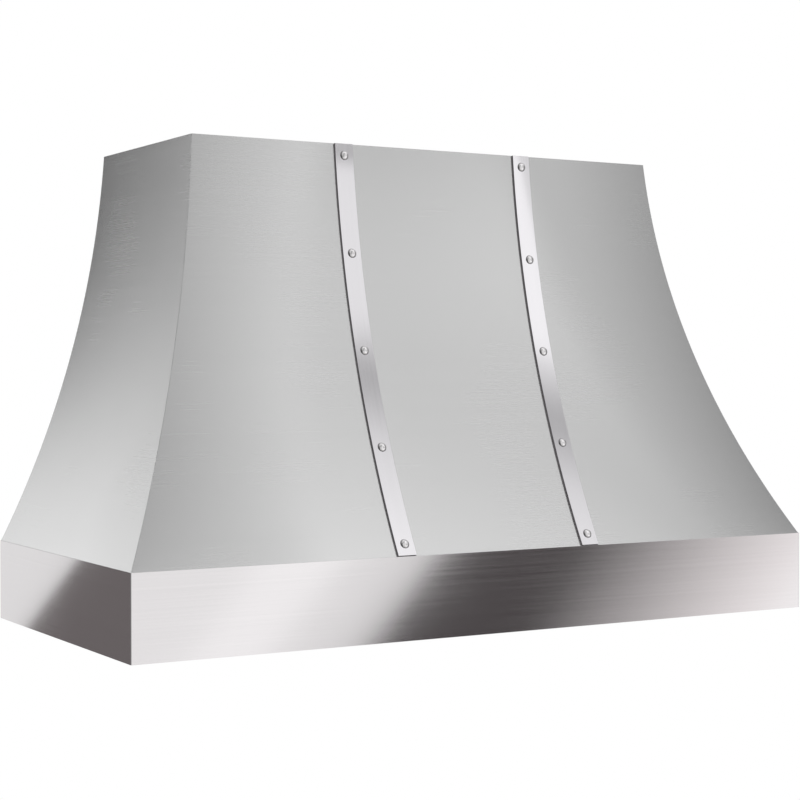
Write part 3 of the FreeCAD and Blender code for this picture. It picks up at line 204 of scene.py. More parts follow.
merge_distance = 0.000001
hood_half = 0.6096
hood_depth = 0.5588
hood_height = 0.762
band_height = 0.127
band_sheet = 0.0015
panel_sheet = 0.0012
flare_radius = 1.650
top_half = 0.4283
top_depth = 0.359
rim_flange = 0.020
rim_gap = 0.001
seam_gap = 0.0004
panel_edge = 0.00015
panel_crease = 20.0
skin_half = hood_half - band_sheet
skin_depth = hood_depth - band_sheet


def flare_centre(foot, head):
    """Centre (out, up) of the arc of flare_radius from the foot of a face to its head."""
    rise = hood_height - band_height
    chord = math.hypot(foot - head, rise)
    reach = math.sqrt(flare_radius ** 2 - (chord / 2) ** 2)
    out = (foot + head) / 2 + reach * rise / chord
    up = (hood_height + band_height) / 2 + reach * (foot - head) / chord
    return out, up


side_centre = flare_centre(skin_half, top_half)
front_centre = flare_centre(skin_depth, top_depth)


def flare_reach(centre, height):
    """How far out a flared face stands at a height."""
    return centre[0] - math.sqrt(flare_radius ** 2 - (height - centre[1]) ** 2)


skirt_rows = 3
flare_rows = 60
front_columns = 24
side_columns = 16
foot_gap = 0.002
sheet_foot = band_sheet + foot_gap


def flared_sheet(across_steps):
    """A flat grid of 2 by 2 units, whose grain map runs up the sheet."""
    mesh = bmesh.new()
    grain_map = mesh.loops.layers.uv.new("grain")
    bmesh.ops.create_grid(mesh, x_segments=across_steps, y_segments=skirt_rows + flare_rows, size=1.0)
    for face in mesh.faces:
        for loop in face.loops:
            loop[grain_map].uv = (loop.vert.co.y, loop.vert.co.x)
    return mesh


def row_height(along):
    """Height of a row of the grid, by its place from -1 to 1. One row falls on the band's top edge."""
    row = round((skirt_rows + flare_rows) * (along + 1) / 2)
    if row <= skirt_rows:
        return sheet_foot + (band_height - sheet_foot) * row / skirt_rows
    return band_height + (hood_height - band_height) * (row - skirt_rows) / flare_rows


def skin_reach(height):
    """How far out the front and the sides stand at a height: upright behind the band, flared above it."""
    if height < band_height:
        return skin_depth, skin_half
    return flare_reach(front_centre, height), flare_reach(side_centre, height)


def fold_rim(mesh, direction):
    """Folds a level flange in from the sheet's top edge, and gives the new corners."""
    top = hood_height - merge_distance
    rim = [edge for edge in mesh.edges if all(corner.co.z > top for corner in edge.verts)]
    made = bmesh.ops.extrude_edge_only(mesh, edges=rim)["geom"]
    corners = [item for item in made if isinstance(item, bmesh.types.BMVert)]
    bmesh.ops.translate(mesh, verts=corners, vec=Vector(direction) * rim_flange)
    return corners


def canopy_front():
    """The front sheet, which runs out to both hips, with its rim mitred at the ends."""
    mesh = flared_sheet(front_columns)
    for corner in mesh.verts:
        height = row_height(corner.co.y)
        depth, half = skin_reach(height)
        corner.co = (half * corner.co.x, -depth, height)
    for corner in fold_rim(mesh, (0, 1, 0)):
        if abs(corner.co.x) > top_half - merge_distance:
            corner.co.x -= math.copysign(rim_flange, corner.co.x)
    return mesh


def canopy_side(sign):
    """A side sheet, from the wall to the back of the front sheet, with its rim clear of the front's."""
    mesh = flared_sheet(side_columns)
    for corner in mesh.verts:
        height = row_height(corner.co.y)
        depth, half = skin_reach(height)
        run = depth - panel_sheet - seam_gap
        corner.co = (sign * half, -run * (corner.co.x + 1) / 2, height)
    for corner in fold_rim(mesh, (-sign, 0, 0)):
        corner.co.y = max(corner.co.y, -(top_depth - rim_flange - rim_gap))
    return mesh


def outward(mesh, direction):
    """Turns a sheet's faces so that they look this way."""
    bmesh.ops.recalc_face_normals(mesh, faces=mesh.faces)
    total = sum((face.normal * face.calc_area() for face in mesh.faces), Vector())
    if total.dot(Vector(direction)) < 0:
        bmesh.ops.reverse_faces(mesh, faces=mesh.faces)


for label, mesh, facing in (
    ("front", canopy_front(), (0, -1, 0)),
    ("left", canopy_side(-1), (-1, 0, 0)),
    ("right", canopy_side(1), (1, 0, 0)),
):
    outward(mesh, facing)
    panel = new_piece(f"canopy_{label}_sheet", "hood", brushed_stainless, mesh)
    wall = panel.modifiers.new("wall", "SOLIDIFY")
    wall.thickness = panel_sheet
    wall.offset = -1.0
    soften(panel, panel_edge, angle=panel_crease)
    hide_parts(f"canopy_{label}_panel")

# Apron band
# One strip of 1.5 mm stainless, 127 mm high, polished like a blurred mirror and folded round three
# sides with a small bend at each corner. Its lower edge is turned in under the shell.

# Buffed stainless: reflections stay, but soft, with faint level lines left by the mop
polished_stainless = brushed_metal(
    "polished_stainless",
    "F5F2F3",
    "ECE9EA",
    roughness=0.08,
    grain=(1.5, 1.5, 300.0),
    spread=0.01,
    depth=0.000005,
)
band_bend = 0.002
bend_steps = 5
band_lip = 0.022
band_edge = 0.0007


def band_mesh():
    """The band's outer skin: an L-shaped run round three sides, raised, then its lip folded in."""
    mesh = bmesh.new()
    places = [
        (-hood_half, 0.0, 0.0),
        (-hood_half, -hood_depth, 0.0),
        (hood_half, -hood_depth, 0.0),
        (hood_half, 0.0, 0.0),
    ]
    corners = [mesh.verts.new(place) for place in places]
    run = [mesh.edges.new(pair) for pair in zip(corners, corners[1:])]
    raised = bmesh.ops.extrude_edge_only(mesh, edges=run)["geom"]
    tops = [item for item in raised if isinstance(item, bmesh.types.BMVert)]
    bmesh.ops.translate(mesh, verts=tops, vec=(0, 0, band_height))
    foot = [edge for edge in mesh.edges if all(corner.co.z < merge_distance for corner in edge.verts)]
    folded = bmesh.ops.extrude_edge_only(mesh, edges=foot)["geom"]
    for corner in folded:
        if isinstance(corner, bmesh.types.BMVert):
            corner.co.x -= math.copysign(band_lip, corner.co.x)
            if corner.co.y < -band_lip:
                corner.co.y += band_lip
    upright = []
    for edge in mesh.edges:
        first, second = (corner.co for corner in edge.verts)
        if abs(first.z - second.z) > band_lip and first.y < -band_lip:
            upright.append(edge)
    bmesh.ops.bevel(
        mesh,
        geom=upright,
        offset=band_bend,
        segments=bend_steps,
        profile=0.5,
        affect="EDGES",
        material=-1,
    )
    outward(mesh, (0, -1, 0))
    return mesh


band = new_piece("apron_band_sheet", "hood", polished_stainless, band_mesh())
wall = band.modifiers.new("wall", "SOLIDIFY")
wall.thickness = band_sheet
wall.offset = -1.0
soften(band, band_edge)
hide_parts("apron_band")

# Straps
# Two flat bars of stainless, 31.75 by 3.2 mm, rolled to the same arc as the front sheet and riveted
# on over it. Their faces are buffed; their narrow edges are rougher and painted dark, a painted shade for the
# dark line they reflect.

strap_width = 0.03175
strap_thickness = 0.0032
strap_spacing = 0.337
strap_steps = 48
strap_gap = 0.0001
strap_edge = 0.0003

# Drawn bar, buffed: a little brighter than the band, with the mop's faint lines along it
buffed_bar = brushed_metal(
    "buffed_bar",
    "F6F4F7",
    "EEECEF",
    roughness=0.09,
    grain=(500.0, 3.0, 3.0),
    spread=0.01,
    depth=0.000005,
)
# The bar's two narrow edges: rougher, with a dark colour painted on as shade for the dark reflection they
# show beside the buffed face
painted_dark_edge = brushed_metal(
    "painted_dark_edge",
    "7E7A7C",
    "706C6E",
    roughness=0.35,
    grain=(3.0, 500.0, 3.0),
    spread=0.02,
    depth=0.000005,
)


def front_turn(height):
    """Angle of a point of the front arc about the arc's centre, where 0 points to the wall."""
    return math.asin((height - front_centre[1]) / flare_radius)


def on_front_arc(turn, out):
    """The (Y, Z) of a point at this angle, this far out from the front sheet's face."""
    radius = flare_radius - out
    return -(front_centre[0] - radius * math.cos(turn)), front_centre[1] + radius * math.sin(turn)


def strap_mesh(across):
    """The bar's outer face, this far across the hood, from the band's top edge to the rim."""
    mesh = bmesh.new()
    bmesh.ops.create_grid(mesh, x_segments=1, y_segments=strap_steps, size=1.0)
    start, end = front_turn(band_height), front_turn(hood_height)
    for corner in mesh.verts:
        turn = start + (end - start) * (corner.co.y + 1) / 2
        back, up = on_front_arc(turn, strap_thickness)
        corner.co = (across + corner.co.x * strap_width / 2, back, up)
    outward(mesh, (0, -1, 0))
    return mesh


for side, sign in (("left", -1), ("right", 1)):
    mesh = strap_mesh(sign * strap_spacing / 2)
    bar = new_piece(f"strap_{side}_bar", "hood", buffed_bar, mesh)
    # The rim faces take the dark material: painted shade along both narrow edges of the bar
    bar.data.materials.append(painted_dark_edge)
    wall = bar.modifiers.new("wall", "SOLIDIFY")
    wall.thickness = strap_thickness - strap_gap
    wall.offset = -1.0
    wall.material_offset_rim = 1
    soften(bar, strap_edge, segments=3)
    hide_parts(f"strap_{side}")

# Rivets
# Five domed stainless rivets go through each strap and the front sheet and are set from inside.
# Their heads are 15 mm across, stand 5 mm proud and are polished.

rivet_head = 0.015
rivet_rise = 0.005
rivet_margin = 0.01905
rivet_count = 5
rivet_skirt = 0.0004
rivet_steps_round = 40
rivet_steps_up = 48
# Where the painted shadow ring at the foot of each head begins, as a share of its radius, and how sharply it
# darkens
shade_ring_start = 0.70
shade_ring_power = 1.5
rivet_crease = 50.0

# Polished heads, their colour painted darker towards the rim as a painted shadow ring where the head meets
# the strap
rivet_steel_painted_shade = brushed_metal(
    "rivet_steel_painted_shade",
    "F5F3F4",
    "EBE9EA",
    roughness=0.045,
    grain=(300.0, 300.0, 300.0),
    spread=0.01,
    depth=0.000002,
)
tree = rivet_steel_painted_shade.node_tree
shader = tree.nodes["Principled BSDF"]
polish = shader.inputs["Base Color"].links[0].from_socket
# Painted shade: the foot attribute mixes the polish towards near black at each head's rim, standing in for
# the shadow where the dome meets the strap
ring = add_node(tree, "ShaderNodeAttribute", settings={"attribute_name": "foot"})
shade = add_node(tree, "ShaderNodeMix", settings={"data_type": "RGBA"}, links={"Factor": ring.outputs["Fac"]})
tree.links.new(polish, shade.inputs[6])
shade.inputs[7].default_value = linear("262324")
tree.links.new(shade.outputs[2], shader.inputs["Base Color"])


def rivet_dome():
    """One head on its rim at the origin: the cap of a ball, with a short skirt that meets the strap."""
    mesh = bmesh.new()
    ball = ((rivet_head / 2) ** 2 + rivet_rise ** 2) / (2 * rivet_rise)
    bmesh.ops.create_uvsphere(mesh, u_segments=rivet_steps_round, v_segments=rivet_steps_up, radius=ball)
    bmesh.ops.bisect_plane(
        mesh,
        geom=mesh.verts[:] + mesh.edges[:] + mesh.faces[:],
        plane_co=(0, 0, ball - rivet_rise),
        plane_no=(0, 0, -1),
        clear_outer=True,
    )
    bmesh.ops.translate(mesh, verts=mesh.verts, vec=(0, 0, rivet_rise - ball))
    rim = [edge for edge in mesh.edges if edge.is_boundary]
    skirt = bmesh.ops.extrude_edge_only(mesh, edges=rim)["geom"]
    low = [item for item in skirt if isinstance(item, bmesh.types.BMVert)]
    bmesh.ops.translate(mesh, verts=low, vec=(0, 0, -rivet_skirt))
    bmesh.ops.edgeloop_fill(mesh, edges=[edge for edge in mesh.edges if edge.is_boundary])
    bmesh.ops.recalc_face_normals(mesh, faces=mesh.faces)
    # The foot layer grades the painted shadow ring, from 0 towards the middle of the head to 1 at its rim
    foot = mesh.verts.layers.float.new("foot")
    for corner in mesh.verts:
        out = corner.co.xy.length / (rivet_head / 2)
        corner[foot] = min(max((out - shade_ring_start) / (1 - shade_ring_start), 0.0), 1.0) ** shade_ring_power
    return mesh


def add_copies(whole, part, stands):
    """Joins a copy of the part to the whole at each stand, and drops the part."""
    loose = bpy.data.meshes.new("loose")
    part.to_mesh(loose)
    part.free()
    for stand in stands:
        placed = loose.copy()
        placed.transform(stand)
        whole.from_mesh(placed)
        bpy.data.meshes.remove(placed)
    bpy.data.meshes.remove(loose)


for side, sign in (("left", -1), ("right", 1)):
    start = front_turn(band_height) + rivet_margin / flare_radius
    end = front_turn(hood_height) - rivet_margin / flare_radius
    stands = []
    for index in range(rivet_count):
        turn = start + (end - start) * index / (rivet_count - 1)
        back, up = on_front_arc(turn, strap_thickness)
        place = Matrix.Translation((sign * strap_spacing / 2, back, up))
        stands.append(place @ Matrix.Rotation(math.radians(90) + turn, 4, "X"))
    mesh = bmesh.new()
    add_copies(mesh, rivet_dome(), stands)
    heads = new_piece(f"strap_{side}_rivet_heads", "hood", rivet_steel_painted_shade, mesh)
    heads.data.shade_smooth()
    heads.data.set_sharp_from_angle(angle=math.radians(rivet_crease))
    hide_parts(f"strap_rivets_{side}")

# Back, roof tray and duct
# Zinc-coated sheet that nobody sees once the hood hangs: the back panel with its two rails for the
# wall screws, the tray let into the top, and the duct collar with its rivets and damper.

body_of = {}
for body, members in frame["record"]["behaviour"]["bodies"].items():
    body_of.update(dict.fromkeys(members, body))
dulled_edge = 0.0003
flat_within = 0.2


def dressed_copy(node, material, width=dulled_edge):
    """The node's own shape with its triangles merged, its curves smooth and its edges dulled."""
    mesh = bmesh.new()
    mesh.from_mesh(frame["nodes"][node].data)
    bmesh.ops.remove_doubles(mesh, verts=mesh.verts, dist=merge_distance)
    bmesh.ops.dissolve_limit(
        mesh,
        angle_limit=math.radians(flat_within),
        verts=mesh.verts,
        edges=mesh.edges,
    )
    piece = new_piece(f"{node}_dressed", body_of[node], material, mesh)
    soften(piece, width)
    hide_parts(node)


def galvanised(name, colour, dark_colour, spangle):
    """Zinc-coated sheet: flat grey crystals, each a little lighter or darker and this far across."""
    material, tree, shader = new_material(name, {"Metallic": 0.55})
    place = add_node(tree, "ShaderNodeTexCoord")
    crystals = add_node(
        tree,
        "ShaderNodeTexVoronoi",
        values={"Scale": 1 / spangle},
        links={"Vector": place.outputs["Object"]},
    )
    shade = add_node(
        tree,
        "ShaderNodeMix",
        settings={"data_type": "RGBA"},
        links={"Factor": crystals.outputs["Color"]},
    )
    shade.inputs[6].default_value = linear(dark_colour)
    shade.inputs[7].default_value = linear(colour)
    tree.links.new(shade.outputs[2], shader.inputs["Base Color"])
    rough = add_node(
        tree,
        "ShaderNodeMapRange",
        values={"To Min": 0.38, "To Max": 0.55},
        links={"Value": crystals.outputs["Color"]},
    )
    tree.links.new(rough.outputs["Result"], shader.inputs["Roughness"])
    return material


# Hot-dipped sheet: half metal to the eye, since the zinc has dulled, with its frozen crystals showing
galvanised_steel = galvanised("galvanised_steel", "C4C8CB", "A9AEB2", spangle=0.012)
for node in (
    "back_panel",
    "upper_wall_rail",
    "lower_wall_rail",
    "roof_panel",
    "duct_collar",
    "collar_rivets",
    "damper_pin",
    "damper_flap_front",
    "damper_flap_rear",
    "outlet_transition",
):
    dressed_copy(node, galvanised_steel)

# Liner, grease trough and clips
# The pan that closes the hood from below, pressed from satin stainless, with the gutter behind the
# filters and the leaf springs that hold their front edges.

# Satin sheet as it comes from the mill: duller than the canopy, with a longer grain
liner_stainless = brushed_metal(
    "liner_stainless",
    "D2D2D1",
    "C2C3C3",
    roughness=0.34,
    grain=(2.0, 480.0, 480.0),
    spread=0.05,
    depth=0.00004,
)
for node in ("liner_pan", "grease_trough", "filter_clips"):
    dressed_copy(node, liner_stainless)

# Baffle filters
# Three frames of stainless channel with two rows of baffles, one over the gaps of the other, and a
# pair of bent wire handles on each.

baffle_edge = 0.0002
# Brushed strip: its grain runs along the baffles
filter_stainless = brushed_metal(
    "filter_stainless",
    "DCDCDB",
    "CFD0D0",
    roughness=0.26,
    grain=(480.0, 2.0, 2.0),
    spread=0.04,
    depth=0.00002,
)
for side in ("left", "centre", "right"):
    dressed_copy(f"filter_{side}_frame", filter_stainless)
    dressed_copy(f"filter_{side}_baffles", filter_stainless, width=baffle_edge)
    dressed_copy(f"filter_{side}_handles", filter_stainless)

# Lamps
# Round lamps let into the strip under the front: a polished bezel, a frosted glass disc and an
# aluminium body above it.

# Acid-etched glass: white and soft, with no clear view of what is behind it
lamp_glass, tree, shader = new_material(
    "frosted_lamp_glass",
    {"Base Color": linear("FAFAF7"), "Transmission Weight": 0.25, "Roughness": 0.3, "IOR": 1.5},
)
place = add_node(tree, "ShaderNodeTexCoord")
frost = add_node(
    tree,
    "ShaderNodeTexNoise",
    values={"Scale": 2500.0},
    links={"Vector": place.outputs["Object"]},
)
bump = add_node(
    tree,
    "ShaderNodeBump",
    values={"Strength": 0.2, "Distance": 0.0001},
    links={"Height": frost.outputs["Fac"]},
)
tree.links.new(bump.outputs["Normal"], shader.inputs["Normal"])
# Aluminium from the mould: grey and even, with a fine grain all ways
lamp_aluminium = brushed_metal(
    "die_cast_aluminium",
    "C9CACC",
    "B4B6B9",
    roughness=0.45,
    grain=(700.0, 700.0, 700.0),
    spread=0.05,
    depth=0.0001,
)
round_steps = 96
lens_gap = 0.0001
lens_border = 0.004
lens_dish = 0.0006
lens_edge = 0.0003


def lens_mesh(low, high):
    """A pressed glass disc that fills this box, with a plain border round a slightly dished middle."""
    low, high = Vector(low), Vector(high)
    mesh = bmesh.new()
    radius = (high.x - low.x) / 2 - lens_gap
    bmesh.ops.create_cone(
        mesh,
        cap_ends=True,
        segments=round_steps,
        radius1=radius,
        radius2=radius,
        depth=high.z - low.z,
    )
    bmesh.ops.translate(mesh, verts=mesh.verts, vec=(low + high) / 2)
    underside = [face for face in mesh.faces if face.normal.z < -0.9]
    bmesh.ops.inset_region(mesh, faces=underside, thickness=lens_border)
    bmesh.ops.inset_region(mesh, faces=underside, thickness=lens_dish, depth=-lens_dish)
    return mesh


for side in ("left", "centre", "right"):
    dressed_copy(f"lamp_{side}_bezel", polished_stainless)
    node = f"lamp_{side}_lens"
    mesh = lens_mesh(*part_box(node))
    lens = new_piece(f"lamp_{side}_glass", body_of[node], lamp_glass, mesh)
    soften(lens, lens_edge)
    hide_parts(node)
    dressed_copy(f"lamp_{side}_housing", lamp_aluminium)

# Controls
# Two turned metal knobs under the strip, on steel spindles that come out of a fan switch and a lamp
# dimmer in black plastic boxes.

# Turned brass, satin nickel plated: a little warmer and softer than the stainless round it
knob_metal = brushed_metal(
    "satin_nickel_knob",
    "C8C7C4",
    "B9B8B5",
    roughness=0.28,
    grain=(300.0, 300.0, 1500.0),
    spread=0.04,
    depth=0.00004,
)
# Steel off the lathe: fine tool marks that blur what it reflects
turned_steel = brushed_metal(
    "turned_steel",
    "BDBFC1",
    "A8AAAD",
    roughness=0.3,
    grain=(1200.0, 1200.0, 1200.0),
    spread=0.05,
    depth=0.00004,
)


def fine_textured(name, colour, roughness, grit):
    """Plastic or enamel with a fine even texture, whose grains are this far across."""
    material, tree, shader = new_material(name, {"Base Color": linear(colour), "Roughness": roughness})
    place = add_node(tree, "ShaderNodeTexCoord")
    grain = add_node(
        tree,
        "ShaderNodeTexNoise",
        values={"Scale": 1 / grit},
        links={"Vector": place.outputs["Object"]},
    )
    bump = add_node(
        tree,
        "ShaderNodeBump",
        values={"Strength": 0.3, "Distance": 0.0001},
        links={"Height": grain.outputs["Fac"]},
    )
    tree.links.new(bump.outputs["Normal"], shader.inputs["Normal"])
    return material


# Moulded phenolic: near black, with the mould's spark texture. The pointer is filled with enamel.
switch_plastic = fine_textured("black_phenolic", "26262A", roughness=0.45, grit=0.0006)
black_enamel = fine_textured("black_enamel", "1B1B1D", roughness=0.5, grit=0.0008)
grip_radius = 0.014
grip_flutes = 54
flute_depth = 0.0006
skirt_height = 0.003
skirt_foot = 0.0155
face_rim = 0.0015
face_dish = 0.0006
knob_edge = 0.0002
pointer_size = (0.0014, 0.010, 0.0004)
pointer_offset = 0.006
pointer_edge = 0.0001


def knob_mesh(low, high):
    """A fluted grip with a dished face, under a plain skirt, between these corners of its box."""
    low, high = Vector(low), Vector(high)
    centre = (low + high) / 2
    grip_height = high.z - low.z - skirt_height
    grip_steps = 4 * grip_flutes
    mesh = bmesh.new()
    bmesh.ops.create_cone(
        mesh,
        cap_ends=True,
        segments=grip_steps,
        radius1=grip_radius,
        radius2=grip_radius,
        depth=grip_height,
    )
    underside = [face for face in mesh.faces if face.normal.z < -0.9]
    bmesh.ops.inset_region(mesh, faces=underside, thickness=face_rim)
    bmesh.ops.inset_region(mesh, faces=underside, thickness=face_dish, depth=-face_dish)
    for corner in mesh.verts:
        step = round(math.atan2(corner.co.y, corner.co.x) / (math.tau / grip_steps))
        if step % 4 in (0, 1) and corner.co.xy.length > grip_radius - flute_depth:
            corner.co.xy *= 1 - flute_depth / grip_radius
    bmesh.ops.translate(mesh, verts=mesh.verts, vec=(centre.x, centre.y, low.z + grip_height / 2))
    bmesh.ops.create_cone(
        mesh,
        cap_ends=True,
        segments=round_steps,
        radius1=skirt_foot,
        radius2=(high.x - low.x) / 2,
        depth=skirt_height,
        matrix=Matrix.Translation((centre.x, centre.y, high.z - skirt_height / 2)),
    )
    return mesh


def pointer_mesh(low, high):
    """The knob's pointer: a line of enamel on its face, from near the middle to the front of the rim."""
    low, high = Vector(low), Vector(high)
    centre = (low + high) / 2
    centre.y -= pointer_offset
    centre.z = low.z + face_dish - pointer_size[2] / 2
    mesh = bmesh.new()
    bmesh.ops.create_cube(mesh, size=1.0)
    bmesh.ops.scale(mesh, verts=mesh.verts, vec=pointer_size)
    bmesh.ops.translate(mesh, verts=mesh.verts, vec=centre)
    return mesh


for label, box in (("fan", "fan_switch"), ("light", "light_dimmer")):
    node = f"{label}_knob"
    mesh = knob_mesh(*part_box(node))
    knob = new_piece(f"{label}_knob_turned", body_of[node], knob_metal, mesh)
    soften(knob, knob_edge)
    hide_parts(node)
    mesh = pointer_mesh(*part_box(node))
    pointer = new_piece(f"{label}_knob_pointer", body_of[node], black_enamel, mesh)
    soften(pointer, pointer_edge)
    dressed_copy(f"{label}_spindle", turned_steel)
    dressed_copy(box, switch_plastic)

# Blower and junction box
# Zinc-coated scroll housing with spun inlet rings, a squirrel-cage impeller, and a motor in baked
# enamel on a three-armed bracket. The supply cable ends in the sheet box beside the duct.

# Baked enamel on the motor's shell: dark, even and half glossy
motor_paint = fine_textured("baked_enamel", "33363B", roughness=0.35, grit=0.001)
for node in (
    "blower_housing",
    "inlet_ring_left",
    "inlet_ring_right",
    "impeller",
    "motor_bracket",
    "junction_box",
    "junction_box_cover",
):
    dressed_copy(node, galvanised_steel)
dressed_copy("motor", motor_paint)
dressed_copy("motor_shaft", turned_steel)

# Studio
# A plain pale floor under the hood, soft even light, and grey cards out of view that the metal
# reflects, as a photographer sets them.

world_light = 0.85
world_seen = 1.0
floor_level = -1.0
floor_radius = 2.2
floor_plain_radius = 1.3
mesh = bmesh.new()
bmesh.ops.create_circle(mesh, cap_ends=True, radius=floor_radius, segments=round_steps)
bmesh.ops.translate(mesh, verts=mesh.verts, vec=(0, -hood_depth / 2, floor_level))
data = bpy.data.meshes.new("floor")
mesh.to_mesh(data)
mesh.free()
floor = bpy.data.objects.new("floor", data)
bpy.context.scene.collection.objects.link(floor)
# Painted board that fades into the white round it, and that is seen only from above
floor_paint, tree, shader = new_material("floor_paint", {"Base Color": linear("F4F4F2"), "Roughness": 0.8})
place = add_node(tree, "ShaderNodeTexCoord")
from_middle = add_node(
    tree,
    "ShaderNodeVectorMath",
    settings={"operation": "DISTANCE"},
    links={0: place.outputs["Object"]},
)
from_middle.inputs[1].default_value = (0, -hood_depth / 2, floor_level)
fade = add_node(
    tree,
    "ShaderNodeMapRange",
    settings={"interpolation_type": "SMOOTHSTEP"},
    values={"From Min": floor_plain_radius, "From Max": floor_radius},
    links={"Value": from_middle.outputs["Value"]},
)
sides = add_node(tree, "ShaderNodeNewGeometry")
gone = add_node(
    tree,
    "ShaderNodeMath",
    settings={"operation": "MAXIMUM"},
    links={0: fade.outputs["Result"], 1: sides.outputs["Backfacing"]},
)
clear = add_node(tree, "ShaderNodeBsdfTransparent")
surface = add_node(
    tree,
    "ShaderNodeMixShader",
    links={0: gone.outputs["Value"], 1: shader.outputs["BSDF"], 2: clear.outputs["BSDF"]},
)
tree.links.new(surface.outputs["Shader"], tree.nodes["Material Output"].inputs["Surface"])
data.materials.append(floor_paint)

world = bpy.data.worlds.new("studio")
world.use_nodes = True
bpy.context.scene.world = world
tree = world.node_tree
tree.nodes.clear()
path = add_node(tree, "ShaderNodeLightPath")
seen = add_node(
    tree,
    "ShaderNodeMath",
    settings={"operation": "MAXIMUM"},
    links={0: path.outputs["Is Camera Ray"], 1: path.outputs["Is Glossy Ray"]},
)
seen_or_through = add_node(
    tree,
    "ShaderNodeMath",
    settings={"operation": "MAXIMUM"},
    links={0: seen.outputs["Value"], 1: path.outputs["Is Transmission Ray"]},
)
glow = add_node(tree, "ShaderNodeBackground", values={"Color": linear("FFFFFF"), "Strength": world_light})
white = add_node(tree, "ShaderNodeBackground", values={"Color": linear("FFFFFF"), "Strength": world_seen})
choice = add_node(
    tree,
    "ShaderNodeMixShader",
    links={
        0: seen_or_through.outputs["Value"],
        1: glow.outputs["Background"],
        2: white.outputs["Background"],
    },
)
add_node(tree, "ShaderNodeOutputWorld", links={"Surface": choice.outputs["Shader"]})

card_distance = 40.0
card_middle_height = 0.3
card_steps = 12


def far(turn, tilt):
    """A place far off, this many degrees from the front to the right and this many up."""
    turn = math.radians(turn)
    tilt = math.radians(tilt)
    out = Vector((math.sin(turn) * math.cos(tilt), -math.cos(turn) * math.cos(tilt), math.sin(tilt)))
    return out * card_distance + Vector((0, -hood_depth, card_middle_height))


def card_light(name, colour, brightness, end_brightness):
    """Light of one colour whose brightness runs along the card's map."""
    material = bpy.data.materials.new(name)
    material.use_nodes = True
    tree = material.node_tree
    tree.nodes.clear()
    across = add_node(tree, "ShaderNodeUVMap", settings={"uv_map": "across"})
    split = add_node(tree, "ShaderNodeSeparateXYZ", links={"Vector": across.outputs["UV"]})
    graded = add_node(
        tree,
        "ShaderNodeMapRange",
        values={"To Min": brightness, "To Max": end_brightness},
        links={"Value": split.outputs["X"]},
    )
    light = add_node(
        tree,
        "ShaderNodeEmission",
        values={"Color": linear(colour)},
        links={"Strength": graded.outputs["Result"]},
    )
    add_node(tree, "ShaderNodeOutputMaterial", links={"Surface": light.outputs["Emission"]})
    return material


def card(name, colour, brightness, end_brightness, corners):
    """A card between four corners in turn, graded from its first and last to its second and third."""
    mesh = bmesh.new()
    across_map = mesh.loops.layers.uv.new("across")
    bmesh.ops.create_grid(mesh, x_segments=card_steps, y_segments=card_steps, size=1.0)
    for face in mesh.faces:
        for loop in face.loops:
            loop[across_map].uv = ((loop.vert.co.x + 1) / 2, (loop.vert.co.y + 1) / 2)
    first, second, third, last = (Vector(corner) for corner in corners)
    for corner in mesh.verts:
        across, up = (corner.co.x + 1) / 2, (corner.co.y + 1) / 2
        corner.co = first.lerp(second, across).lerp(last.lerp(third, across), up)
    data = bpy.data.meshes.new(name)
    mesh.to_mesh(data)
    mesh.free()
    data.materials.append(card_light(name, colour, brightness, end_brightness))
    board = bpy.data.objects.new(name, data)
    bpy.context.scene.collection.objects.link(board)
    board.visible_camera = False
    board.visible_diffuse = False
    board.visible_shadow = False


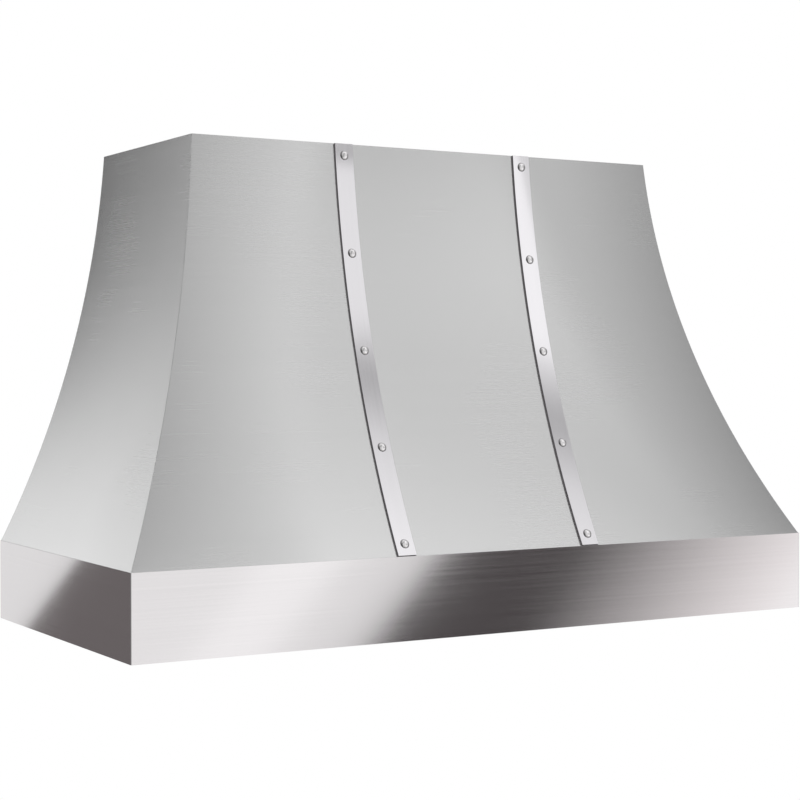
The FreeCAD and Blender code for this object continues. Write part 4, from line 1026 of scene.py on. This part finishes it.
# Cards far off, by name: colour, brightness at the start and the end, and each corner's turn and tilt
# in degrees. The front of the band shows the low ones, whose dark parts are a little warm. The front
# sheet and the straps show the rest, and those at the left and the back serve views from other sides.
far_cards = {
    "card_low_left": ("FFFFFF", 0.86, 0.86, ((-20, -14), (20, -14), (29, -1), (-20, -1))),
    "card_low_edge": ("FFFFFF", 0.82, 0.82, ((22.3, -14), (25.4, -14), (35.3, -1), (32.3, -1))),
    "card_low": ("FFF2F5", 0.06, 0.06, ((25.4, -14), (31.2, -14), (39.2, -1), (35.3, -1))),
    "card_low_graded": ("FFFBFB", 0.06, 0.96, ((31.2, -14), (38.7, -14), (46.7, -1), (39.2, -1))),
    "card_front": ("FFFFFF", 0.84, 0.84, ((-20, 19), (34, 19), (37, 30), (-20, 30))),
    "card_knee": ("FFFFFF", 0.42, 0.42, ((10, 3), (33, 3), (33, 18.8), (10, 18.8))),
    "card_shelf": ("FFFFFF", 0.42, 0.42, ((33, 3), (70, 3), (70, 13), (33, 13))),
    "card_high": ("FFFFFF", 0.74, 1.35, ((15, 32.6), (15, 50), (70, 50), (70, 32.6))),
    "card_top": ("FFFFFF", 1.35, 0.85, ((15, 50), (15, 75), (70, 75), (70, 50))),
    "card_beam_under": ("FFFFFF", 0.84, 0.44, ((26, 27.6), (26, 30.7), (60, 30.7), (60, 27.6))),
    "card_beam": ("FFFFFF", 0.44, 0.44, ((26, 30.7), (60, 30.7), (60, 31.5), (26, 31.5))),
    "card_beam_over": ("FFFFFF", 0.44, 0.76, ((26, 31.5), (26, 35.0), (60, 35.0), (60, 31.5))),
    "card_left_far": ("FFFFFF", 0.2, 0.2, ((-140, -60), (-50, -60), (-50, 12), (-140, 12))),
    "card_left_upper": ("FFFFFF", 0.2, 0.65, ((-50, 14), (-50, 45), (-140, 45), (-140, 14))),
    "card_left_top": ("FFFFFF", 0.65, 0.65, ((-140, 45), (-50, 45), (-50, 75), (-140, 75))),
    "card_middle": ("FFFFFF", 0.72, 0.72, ((-48, -60), (-2, -60), (-2, 78), (-48, 78))),
    "card_right_far": ("FFFFFF", 0.3, 0.3, ((62, -60), (140, -60), (140, 20), (62, 20))),
    "card_right_upper": ("FFFFFF", 0.6, 0.6, ((80, 22), (140, 22), (140, 75), (80, 75))),
    "card_back": ("FFFFFF", 0.66, 0.66, ((142, -60), (190, -60), (190, 78), (142, 78))),
}
for name, (colour, brightness, end_brightness, corners) in far_cards.items():
    card(name, colour, brightness, end_brightness, [far(*corner) for corner in corners])

# Cards close by, the same but with places in metres. The first three stand before the front, the rest
# behind it on the left, where the left sheet and the left end of the band show them.
near_cards = {
    "card_right_near": (
        "FFFFFF",
        0.74,
        0.15,
        ((0.7, -0.78, 0.26), (1.05, -0.74, 0.26), (1.05, -0.74, 1.5), (0.22, -0.75, 1.5)),
    ),
    "card_right_side": (
        "FFFFFF",
        0.22,
        0.22,
        ((1.05, -0.74, 0.26), (2.2, -0.6, 0.26), (2.2, -0.6, 1.5), (1.05, -0.74, 1.5)),
    ),
    "card_left_near": (
        "FFFFFF",
        0.2,
        0.86,
        ((-0.62, -0.85, 0.42), (-0.1, -0.85, 0.42), (0.22, -0.78, 1.5), (-0.3, -0.78, 1.5)),
    ),
    "card_left_high": (
        "FFFFFF",
        0.08,
        0.08,
        ((-1.42, 2.0, 1.065), (-0.3, 2.0, -0.015), (-0.3, 2.0, 3.0), (-2.9, 2.0, 3.0)),
    ),
    "card_left_bright": (
        "FFFFFF",
        1.4,
        0.73,
        ((-1.5, 2.02, 0.12), (-0.9, 2.02, 0.12), (-0.9, 2.02, 1.3), (-1.5, 2.02, 1.3)),
    ),
    "card_left_flank": (
        "FFFFFF",
        0.95,
        0.95,
        ((-1.85, 2.02, 0.25), (-1.5, 2.02, 0.25), (-1.5, 2.02, 0.95), (-1.85, 2.02, 0.95)),
    ),
    "card_left_grey": (
        "FFFFFF",
        0.8,
        0.8,
        ((-1.6, 2.02, -1.2), (0.2, 2.02, -1.2), (0.2, 2.02, 0.1), (-1.6, 2.02, 0.1)),
    ),
    "card_left_low": (
        "FFF4F5",
        0.145,
        0.145,
        ((-3.2, 2.0, -1.2), (-0.62, 2.0, -1.2), (-1.5, 2.0, -0.12), (-3.2, 2.0, -0.12)),
    ),
    "card_left_edge": (
        "FFFFFF",
        0.13,
        0.13,
        ((-3.2, 2.0, -0.12), (-1.52, 2.0, -0.12), (-1.53, 2.0, 0.25), (-3.2, 2.0, 0.25)),
    ),
}
for name, (colour, brightness, end_brightness, corners) in near_cards.items():
    card(name, colour, brightness, end_brightness, corners)
